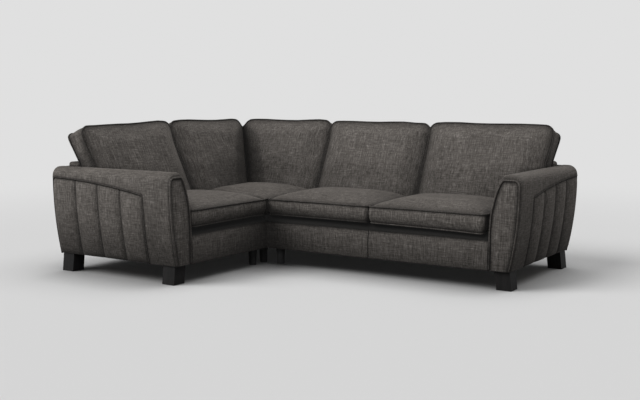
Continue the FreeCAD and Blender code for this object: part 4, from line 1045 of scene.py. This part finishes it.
def arm_seam(v):
    """Height of the curved seam at a depth, up to its rounded front corner."""
    t = np.clip((v - PANEL) / (SLOPE_END - PANEL), 0, 1)
    rear, middle, front = SEAM_HEIGHTS
    curve = rear * (1 - t) * (1 - 2 * t) + middle * 4 * t * (1 - t) + front * t * (2 * t - 1)
    over = np.clip(v - SLOPE_END, 0, SEAM_CORNER)
    return curve - SEAM_CORNER + np.sqrt(np.clip(SEAM_CORNER ** 2 - over ** 2, 0, None))


# Depths of the arm's columns: along the seam, before it, and with their insets over the rolled front edge
SEAM_FRONT = float(arm_seam(FLUTE_FRONT))
SEAM_COLUMNS = list(np.linspace(PANEL, SLOPE_END, 60))
SEAM_COLUMNS += [FLUTE_FRONT - SEAM_CORNER * (1 - math.sin(a)) for a in np.linspace(0, math.pi / 2, 7)[1:]]
FRONT_COLUMNS = list(np.linspace(FLUTE_FRONT, ROLL_START, 18)[1:])
ROLL_TURN = np.linspace(0, math.pi / 2, 7)[1:]
ROLL_COLUMNS = [(tuple(inset * share for inset in FACING_INSETS), depth)
                for share, depth in zip(1 - np.cos(ROLL_TURN), ROLL_START + FRONT_ROLL * np.sin(ROLL_TURN))]


def section_line(further=0.0):
    """The facing's outline, or one that lies further in."""
    return even(arm_profile(FRAME_BOTTOM, tuple(inset + further for inset in FACING_INSETS)), FACING_POINTS)


def inside_arm_patches(spot, inward):
    """The padded piece over the top, with its hem at the seam, and the front zone below the seam's corner."""
    upper = [spot(*even(arm_profile(float(arm_seam(min(v, FLUTE_FRONT)))), ARM_POINTS).T, v)
             for v in SEAM_COLUMNS + FRONT_COLUMNS]
    upper += [spot(*even(arm_profile(SEAM_FRONT, insets), ARM_POINTS).T, v) for insets, v in ROLL_COLUMNS]
    heights = np.linspace(SEAM_FRONT, FRAME_BOTTOM, 46)
    lower = [spot(belly_line(heights), heights, v) for v in SEAM_COLUMNS[-1:] + FRONT_COLUMNS]
    lower += [spot(insets[0] + belly_line(heights), heights, v) for insets, v in ROLL_COLUMNS]
    upper = np.stack(upper)
    lower = np.stack(lower)
    hem = upper[:len(SEAM_COLUMNS), :1]
    patches = (upper, np.concatenate([hem + inward * HEM, hem], 1), lower,
               np.concatenate([lower[:1] + inward * HEM, lower[:1]]))
    return [(patch, False) for patch in patches]


def flute_column(v, last):
    """The fluted panel's outer face at a depth, as insets and heights."""
    x = 1.0 if last else ((v - PANEL) % FLUTE_WIDTH) / FLUTE_WIDTH
    across = max(x, 0.5) if v < PANEL + FLUTE_WIDTH / 2 else x
    puff = 1 - (2 * across - 1) ** 2
    top = float(arm_seam(v)) - 0.001
    z = FRAME_BOTTOM + (top - FRAME_BOTTOM) * np.linspace(0, 1, 70)
    from_top = 1 - fading(top - z, 0.012)
    from_foot = 1 - fading(z - FRAME_BOTTOM, 0.010)
    out = (-FLUTE_BED + FLUTE_PUFF * puff ** 0.42 * from_top * (0.4 + 0.6 * from_foot)
           - rounded_off(v - PANEL, 0.014, 0.010))
    return belly_line(z) - out, z


def facing_levels(spot, section):
    """The facing's rings, from its outline to a spine that stands further forward."""
    spine_z = np.clip(section[:, 1], FRAME_BOTTOM, SPINE_TOP)
    spine_u = 0.5 * (belly_line(spine_z) + FACING_INSETS[0]
                     + np.minimum(arm_inner_line(spine_z), ARM_INNER) - FACING_INSETS[1])
    spine = np.stack([spine_u, spine_z], 1)
    levels = []
    for share in np.linspace(0, 1, 12):
        depth = FACING - FACING_SET + FACING_CROWN * math.sin(0.5 * math.pi * share) ** 0.6
        levels.append(spot(*(section * (1 - share) + spine * share).T, depth))
    return np.stack(levels)


def make_arm(side, hand):
    """An arm's covers: the inside arm over the top, the fluted outside arm below a piped seam, the facing."""
    def spot(u, z, v):
        return at(side, SIDE_END[side] - u, v, z)

    inward = at(side, -1.0, 0.0, 0.0) - at(side, 0.0, 0.0, 0.0)
    inside, outside, front = [f"{hand}_{kind}" for kind in ("inside_arm", "outside_arm", "arm_facing")]
    arm = piece(inside, inside_arm_patches(spot, inward), TWEED, replaced=(inside,))

    depths = np.linspace(PANEL, FLUTE_FRONT - 0.0015, FLUTES * FLUTE_STEPS + 1)
    panel = np.stack([spot(*flute_column(v, v == depths[-1]), v) for v in depths])
    panel = np.concatenate([panel, panel[:, -1:] + inward * PANEL_HEM], 1)
    flutes = piece(outside, [(panel, False)], TWEED, replaced=(outside,))
    seams = []
    for i in range(1, FLUTES):
        v = PANEL + FLUTE_WIDTH * i
        z = np.linspace(FRAME_BOTTOM, float(arm_seam(v)), 90)
        seams.append(spot(belly_line(z) + FLUTE_SEAM, z, v))
    v = np.array(SEAM_COLUMNS)
    z = arm_seam(v)
    sloping = spot(belly_line(z) + SEAM_DEPTH, z, v)
    z = np.linspace(SEAM_FRONT, FRAME_BOTTOM, 50)
    upright = spot(belly_line(z) + SEAM_DEPTH, z, FLUTE_FRONT)
    seam = np.vstack([sloping, upright[1:]])
    rim = resampled(seam, RIM_STEP, False)
    edge = resampled(spot(*section_line(OUTER_SHADE_LINE).T, FACING), RIM_STEP, False)
    z = np.linspace(FRAME_BOTTOM, ZONE_TOP, 60)
    zone = spot(belly_line(z), z, FLUTE_FRONT + ZONE_AHEAD)
    # Painted shade along the channel seams, the curved seam, the facing's outer edge and over the front zone below
    # the seam's corner
    for obj, lines, width, strength in (
            (flutes, seams + [seam], 0.009, 1.0), (flutes, seams + [seam], 0.027, 0.25),
            (arm, [rim], 0.009, 1.0), (arm, [edge], 0.019, 0.80), (arm, [rim], 0.027, 0.25),
            (arm, [edge], 0.060, 0.28), (arm, [zone], 0.12, 0.28)):
        paint_line_shade(obj, lines, width, strength)
    piping(f"{hand}_arm_seam_piping", seam, False, SHADED_TRIM, radius=SEAM_CORD, step=0.010)

    section = section_line()
    facing = piece(front, [(facing_levels(spot, section), False)], TWEED, replaced=(front,))
    # Painted shade along the facing's inner edge beside its cord
    paint_line_shade(facing, [spot(*section_line(INNER_SHADE_LINE).T, FACING)], 0.013, 0.80)
    piping(f"{hand}_facing_piping", spot(*section.T, FACING + 0.0005), False, SHADED_CORD, radius=FACING_CORD)


make_arm(LONG, "right")
make_arm(RETURN, "left")


# Borders and platforms
ARM_START = {side: end - ARM_INNER for side, end in SIDE_END.items()}
BORDER_REAR = MODULE - 0.030
BORDER_ROUND = (0.011, 0.020)
BORDER_FOOT = 0.005
BORDER_PUFF = 0.005
BORDER_EDGE = 0.006
BORDER_DRAW = 0.005
BORDER_PAST_ARM = 0.0008
BORDER_GAP = 0.0005
BORDER_OUT = {LONG: (0, -1, 0), RETURN: (1, 0, 0)}
# The profile point along the border's top edge, where painted shade lies
TOP_LINE = -4
PAD_EDGE = 0.010
PAD_SINK = 0.001
PAD_SPAN = 0.03
NOSE_START = 0.905
NOSE_END = 0.955


def border_profile():
    """The border's section as (v, z): its face swells, rolls back at the top and turns in at the foot."""
    deep, tall = BORDER_ROUND
    foot = np.linspace(math.pi / 2, 0, 5)
    face = np.linspace(0, 1, 22)[1:-1]
    top = np.linspace(0, math.pi / 2, 9)
    low = BORDER_BOTTOM + BORDER_FOOT
    high = PLATFORM_BOTTOM - tall
    return np.array([
        (BORDER_REAR, BORDER_BOTTOM),
        *[(MODULE - BORDER_FOOT + BORDER_FOOT * math.cos(a), low - BORDER_FOOT * math.sin(a)) for a in foot],
        *[(MODULE + BORDER_PUFF * math.sin(math.pi * t) ** 0.8, low + (high - low) * t) for t in face],
        *[(MODULE - deep + deep * math.cos(a), high + tall * math.sin(a)) for a in top],
        (BORDER_REAR, PLATFORM_BOTTOM),
    ])


def make_border(name, side, start, end, seed):
    v, z = border_profile().T
    rows = []
    for s in round_ended(start, end, BORDER_EDGE, int((end - start) / 0.02), 4):
        drawn = rounded_off(min(s - start, end - s), BORDER_EDGE, BORDER_DRAW)
        rows.append(at(side, s, np.maximum(v - drawn, BORDER_REAR), z))
    patches = closed_along(rows)
    face = patches[0][0]
    face += soft(face, 5.0, 0.0012, seed)[..., None] * np.array(BORDER_OUT[side])
    obj = piece(name, patches, TWEED, replaced=(name,))
    # Painted shade at the border's rounded ends and along its top edge under the cushions
    paint_line_shade(obj, [rows[0], rows[-1]], 0.006)
    paint_line_shade(obj, [np.stack([row[TOP_LINE] for row in rows])], 0.012)


make_border("return_front_border", RETURN, MODULE, ARM_START[RETURN] + BORDER_PAST_ARM, 11)
make_border("long_front_border_left", LONG, BORDER_REAR, LONG_SPLIT - BORDER_GAP, 12)
make_border("long_front_border_right", LONG, LONG_SPLIT + BORDER_GAP, ARM_START[LONG] + BORDER_PAST_ARM, 13)


def pad_block(side, *spans):
    """A soft block between low and high values of s, v and z: six grids with round edges."""
    low, high = np.array(spans).T
    size = high - low
    radius = np.minimum(PAD_EDGE, size * 0.49)
    lines = [round_ended(low[axis], high[axis], radius[axis], max(3, int(size[axis] / PAD_SPAN)), 3)
             for axis in range(3)]
    patches = []
    for axis in range(3):
        a, b = [k for k in range(3) if k != axis]
        grid_a, grid_b = np.meshgrid(lines[a], lines[b], indexing="ij")
        for level in (low[axis], high[axis]):
            points = np.empty(grid_a.shape + (3,))
            points[..., a] = grid_a
            points[..., b] = grid_b
            points[..., axis] = level
            inner = np.clip(points, low + radius, high - radius)
            away = points - inner
            length = np.linalg.norm(away / radius, axis=-1, keepdims=True)
            rounded = inner + away / np.maximum(length, 1e-9) * (length > 0)
            s, v, z = np.moveaxis(rounded, -1, 0)
            from_ends = [np.minimum(place - low[k], high[k] - place) for k, place in enumerate((s, v))]
            share = rise(from_ends, [PAD_SPAN] * 2)
            world = at(side, s, v, z - np.sign(z - (low[2] + high[2]) / 2) * PAD_SINK * share)
            world[..., 2] += soft(world, 5.0, 0.0008, 1)
            patches.append((world, False))
    return patches


def platform(name, side, s, v, nosed):
    """A lining-covered pad; where it has a nose, its front slopes down to the border."""
    patches = pad_block(side, s, v, (PLATFORM_BOTTOM, PLATFORM_TOP))
    if nosed:
        t = np.linspace(0, 1, 10)
        slope = np.stack([NOSE_START + (NOSE_END - NOSE_START) * t,
                          PLATFORM_TOP - 0.002 - (PLATFORM_TOP - PLATFORM_BOTTOM - 0.003) * t ** 1.6], 1)
        low = PLATFORM_BOTTOM + 0.0004
        profile = np.vstack([slope, [(NOSE_END, low), (NOSE_START, low)]])
        patches += closed_along([at(side, along, *profile.T) for along in np.linspace(*s, 40)])
    piece(name, patches, LINING, (name,))


REAR_EDGE = lean_front(PLATFORM_BOTTOM)
for unit in (LONG, RETURN):
    platform(f"{unit}_platform", unit, (MODULE, ARM_START[unit]), (REAR_EDGE, PLATFORM_FRONT), True)
platform("corner_platform", LONG, (REAR_EDGE, MODULE), (REAR_EDGE, MODULE), False)


# The backs of the units: each kind of piece on both sides of the sofa, then on both sides of the corner unit
ROLL_RADIUS = 0.011
ROLL_NOSE = 0.030
ROLL_END = 0.125
EDGE_DRAW = 0.003
EDGE_REACH = 0.004
BACK_PLACES = [(side, corner) for corner in (False, True) for side in (LONG, RETURN)]


def back_piece(kind, side, corner, patches, replaced=None):
    name = f"corner_{kind}_{'rear' if side == LONG else 'left'}" if corner else f"{side}_{kind}"
    piece(name, patches, TWEED, replaced=(replaced or (f"corner_{kind}s" if corner else name),))


def inside_back(side, corner):
    """A leaning padded slab that ends at the arm's inner contour, or at the mitre of the corner."""
    front, rear = [], []
    for h in np.linspace(0, 1, 26):
        z = PLATFORM_BOTTOM + (ROLL_BOTTOM - PLATFORM_BOTTOM) * h
        end = MODULE if corner else SIDE_END[side] - max(float(arm_inner_line(z)) + 0.001, ARM_INNER / 2)
        for rows, v in ((front, lean_front(z)), (rear, lean_front(z) - INSIDE_THICK / COS)):
            rows.append(at(side, np.linspace(v + GAP if corner else MODULE, end, 60), v, z))
    front, rear = np.stack(front), np.stack(rear)
    back_piece("inside_back", side, corner, [(front, False), (rear, False)] + rim_strips(front, rear))


def back_roll(side, corner):
    """The padded roll over the top rail: a rounded section along s, with a rounded end at an arm."""
    front = lean_front(ROLL_BOTTOM)
    section = [(front, ROLL_BOTTOM)]
    for centre, turn in ((front - ROLL_RADIUS - 0.006, 0.0), (ROLL_RADIUS, 90.0)):
        section += [(centre + ROLL_RADIUS * math.cos(a), BACK_TOP - ROLL_RADIUS + ROLL_RADIUS * math.sin(a))
                    for a in np.radians(np.linspace(turn, turn + 90, 7))]
    v, z = np.array(section + [(0.0, ROLL_BOTTOM)]).T
    start = v + GAP / 2 if corner else MODULE
    last = MODULE if corner else SIDE_END[side] - ROLL_END - ROLL_NOSE
    rows = [at(side, start + (last - start) * t, v, z) for t in np.linspace(0, 1, 60)]
    if not corner:
        middle = v.mean()
        for a in np.linspace(0, math.pi / 2, 9)[1:]:
            share = max(math.cos(a), 0.06)
            rows.append(at(side, last + ROLL_NOSE * math.sin(a), middle + (v - middle) * (0.45 + 0.55 * share),
                           ROLL_BOTTOM + (z - ROLL_BOTTOM) * share))
    back_piece("back_roll", side, corner, closed_along(rows), "back_top_rolls")


def outside_back(side, corner):
    """A flat covered panel at the back, with the arm's outline at its far end."""
    start = MODULE + UNIT_GAP
    if corner:
        start = 0.0 if side == LONG else PANEL
    front, rear = [], []
    for z in np.linspace(BORDER_BOTTOM, ROLL_BOTTOM, 56):
        end = MODULE - UNIT_GAP if corner else SIDE_END[side] - arm_outer(z)
        s = np.linspace(start, end, 70)
        edge = np.minimum(np.minimum(s - start, end - s), np.minimum(z - BORDER_BOTTOM, ROLL_BOTTOM - z))
        rear.append(at(side, s, EDGE_DRAW * fading(edge, EDGE_REACH), z))
        front.append(at(side, s, PANEL - 0.0005, z))
    front, rear = np.stack(front), np.stack(rear)
    back_piece("outside_back", side, corner, [(rear, False), (front, False)] + rim_strips(front, rear))


for make_back in (inside_back, back_roll, outside_back):
    for back_side, at_corner in BACK_PLACES:
        make_back(back_side, at_corner)


# Cloth under the frame and the elastic straps behind the inside backs
COVER_DEPTHS = (PANEL, MODULE - 0.012)
COVER_SAG = 0.006
STRAP_WIDTH = 0.050
STRAP_SPACING = 0.105
STRAP_STEPS = 9
STRAP_GAP = 0.0001


def dust_cover(name, side, s):
    """A taut sheet under the frame that hangs down a little in the middle."""
    v = COVER_DEPTHS
    wide, deep = s[1] - s[0], v[1] - v[0]
    grid_s, grid_v = np.meshgrid(np.linspace(*s, 50), np.linspace(*v, 40), indexing="ij")
    share = np.sin(math.pi * (grid_s - s[0]) / wide) * np.sin(math.pi * (grid_v - v[0]) / deep)
    cover = at(side, grid_s, grid_v, FRAME_BOTTOM - 0.001 - COVER_SAG * share)
    obj = piece(name, [(cover, False)], DUST, ("dust_covers",))


dust_cover("corner_dust_cover", LONG, (PANEL, MODULE))
for unit in (LONG, RETURN):
    dust_cover(f"{unit}_dust_cover", unit, (MODULE + 0.001, ARM_START[unit]))


def make_straps():
    """Elastic webbing: flat straps with ribbed edges, in front of the posts."""
    low = RAIL_TOP + 0.050
    high = ROLL_BOTTOM - 0.025 - STRAP_WIDTH
    count = int(round((high - low) / STRAP_SPACING))
    across = np.linspace(0, STRAP_WIDTH, STRAP_STEPS)
    thick = 0.0016 - 0.0003 * np.cos(across / STRAP_WIDTH * 8 * math.pi)
    g = np.concatenate([np.full(STRAP_STEPS, STRAP_GAP), (STRAP_GAP + thick)[::-1]])
    r = np.concatenate([across, across[::-1]])
    patches = []
    for i in range(count):
        z = low + (high - low) / count * (i + 0.5)
        v = lean_front(z) - INSIDE_THICK / COS - 0.002 / COS
        for side in (LONG, RETURN):
            for start, end in ((0.300, MODULE), (MODULE, ARM_START[side])):
                patches.append((np.stack([at(side, s, v + g * COS - r * SIN, z + g * SIN + r * COS)
                                          for s in np.linspace(start, end, 30)]), True))
    piece("back_webbing_straps", patches, WEB, ("back_webbing",))


make_straps()

# Floor, backdrop, light and camera
BACKDROP = 0.745
KEY_LEVEL = 0.65
TOP_LEVEL = 0.495
FILL_LEVEL = 0.09
FLOOR_COLOUR = 0.66
FLOOR_BOUNCE = 0.15
FLOOR_RADII = (0.001, 1.0, 2.0, 4.0, 8.0, 16.0, 40.0)
FLOOR_SIDES = 64
CAMERA_PLACE = (3.3248, -5.0840, 1.1099)
CAMERA_TURN = (83.73, 0.0, 33.04)
LENS = 54.734


def studio_material():
    """A pale matt floor that keeps the shadow, darkened near the sofa by a painted contact shadow from ambient
    occlusion, with a faint painted glow, and runs out into the backdrop's colour.
    """
    look = Look("studio_floor")
    pale = look.mapped(seen_directly(look.tree), to_low=FLOOR_BOUNCE, to_high=FLOOR_COLOUR)
    # Painted contact shadow: ambient occlusion darkens the floor's colour near the sofa
    painted_contact_shadow = look.mapped(look.hollow(0.50, 8), 0.08, 0.88, 0.30, 1.0)
    look.shaded({"Base Color": look.math("MULTIPLY", pale, painted_contact_shadow), "Roughness": 0.9,
                 "Specular IOR Level": 0.1}, FLOOR_SELF_GLOW)
    glow = look.add("ShaderNodeEmission", {"Color": (BACKDROP, BACKDROP, BACKDROP, 1), "Strength": 1.0})[0]
    far = look.vector("LENGTH", look.place, output="Value")
    far = look.mapped(far, 2.6, 7.0, interpolation_type="SMOOTHSTEP")
    mixed = look.add("ShaderNodeMixShader", {"Fac": far, 1: look.shader.outputs[0], 2: glow})[0]
    feed(look.tree, look.tree.nodes["Material Output"], {"Surface": mixed})
    return look.material


def make_floor():
    turns = np.linspace(0, 2 * math.pi, FLOOR_SIDES + 1)[:-1]
    points = [(r * math.cos(a), r * math.sin(a), 0.0) for r in FLOOR_RADII for a in turns]
    mesh = new_mesh("studio_floor", points, grid_faces(len(FLOOR_RADII), FLOOR_SIDES, True))
    mesh.materials.append(studio_material())
    obj = add_object("studio_floor", mesh)


make_floor()


def add_light(name, kind, way, energy, **settings):
    data = bpy.data.lights.new(name, kind)
    data.energy = energy
    for key, value in settings.items():
        setattr(data, key, value)
    obj = add_object(name, data)
    obj.rotation_euler = way.to_track_quat("-Z", "Y").to_euler()
    return obj


def soft_sun(name, direction, level, spread):
    """A wide even light: level is the brightness of a white surface that faces it."""
    add_light(name, "SUN", Vector(direction), level * math.pi, angle=math.radians(spread))


def panel_light(name, place, aim, width, level):
    """A soft panel that only reaches the sofa: level is the brightness of a white surface at its aim."""
    way = Vector(aim) - Vector(place)
    obj = add_light(name, "AREA", way, level * math.pi ** 2 * way.length_squared, size=width)
    obj.location = place
    obj.light_linking.receiver_collection = sofa_pieces


sofa_pieces = bpy.data.collections.new("sofa_pieces")
for other in list(bpy.context.scene.collection.all_objects):
    if other.type == "MESH" and other.name != "studio_floor":
        sofa_pieces.objects.link(other)
soft_sun("key_light", (0.50, 0.63, -0.72), KEY_LEVEL, 35)
soft_sun("top_light", (-0.20, -0.28, -1.0), TOP_LEVEL, 62)
panel_light("front_panel", (0.6, -2.9, 2.3), (-1.0, -0.5, 0.6), 1.4, 0.23)
panel_light("left_panel", (-2.9, -2.6, 1.1), (-1.15, -0.95, 0.45), 1.0, 0.30)
panel_light("rear_panel", (0.2, 3.0, 2.8), (0.2, 0.4, 0.6), 1.8, 0.24)

world = bpy.data.worlds.new("studio")
bpy.context.scene.world = world
world.use_nodes = True
sky = add_node(world.node_tree, "ShaderNodeMapRange", {"Value": seen_directly(world.node_tree),
                                                       "To Min": FILL_LEVEL, "To Max": BACKDROP})
feed(world.node_tree, world.node_tree.nodes["Background"], {"Color": WHITE, "Strength": sky["Result"]})

camera_data = bpy.data.cameras.new("camera")
camera_data.sensor_width = 36.0
camera_data.lens = LENS
camera_data.clip_end = 200.0
camera = add_object("camera", camera_data)
camera.location = CAMERA_PLACE
camera.rotation_euler = [math.radians(angle) for angle in CAMERA_TURN]
bpy.context.scene.camera = camera
bpy.context.scene.view_settings.view_transform = "Standard"
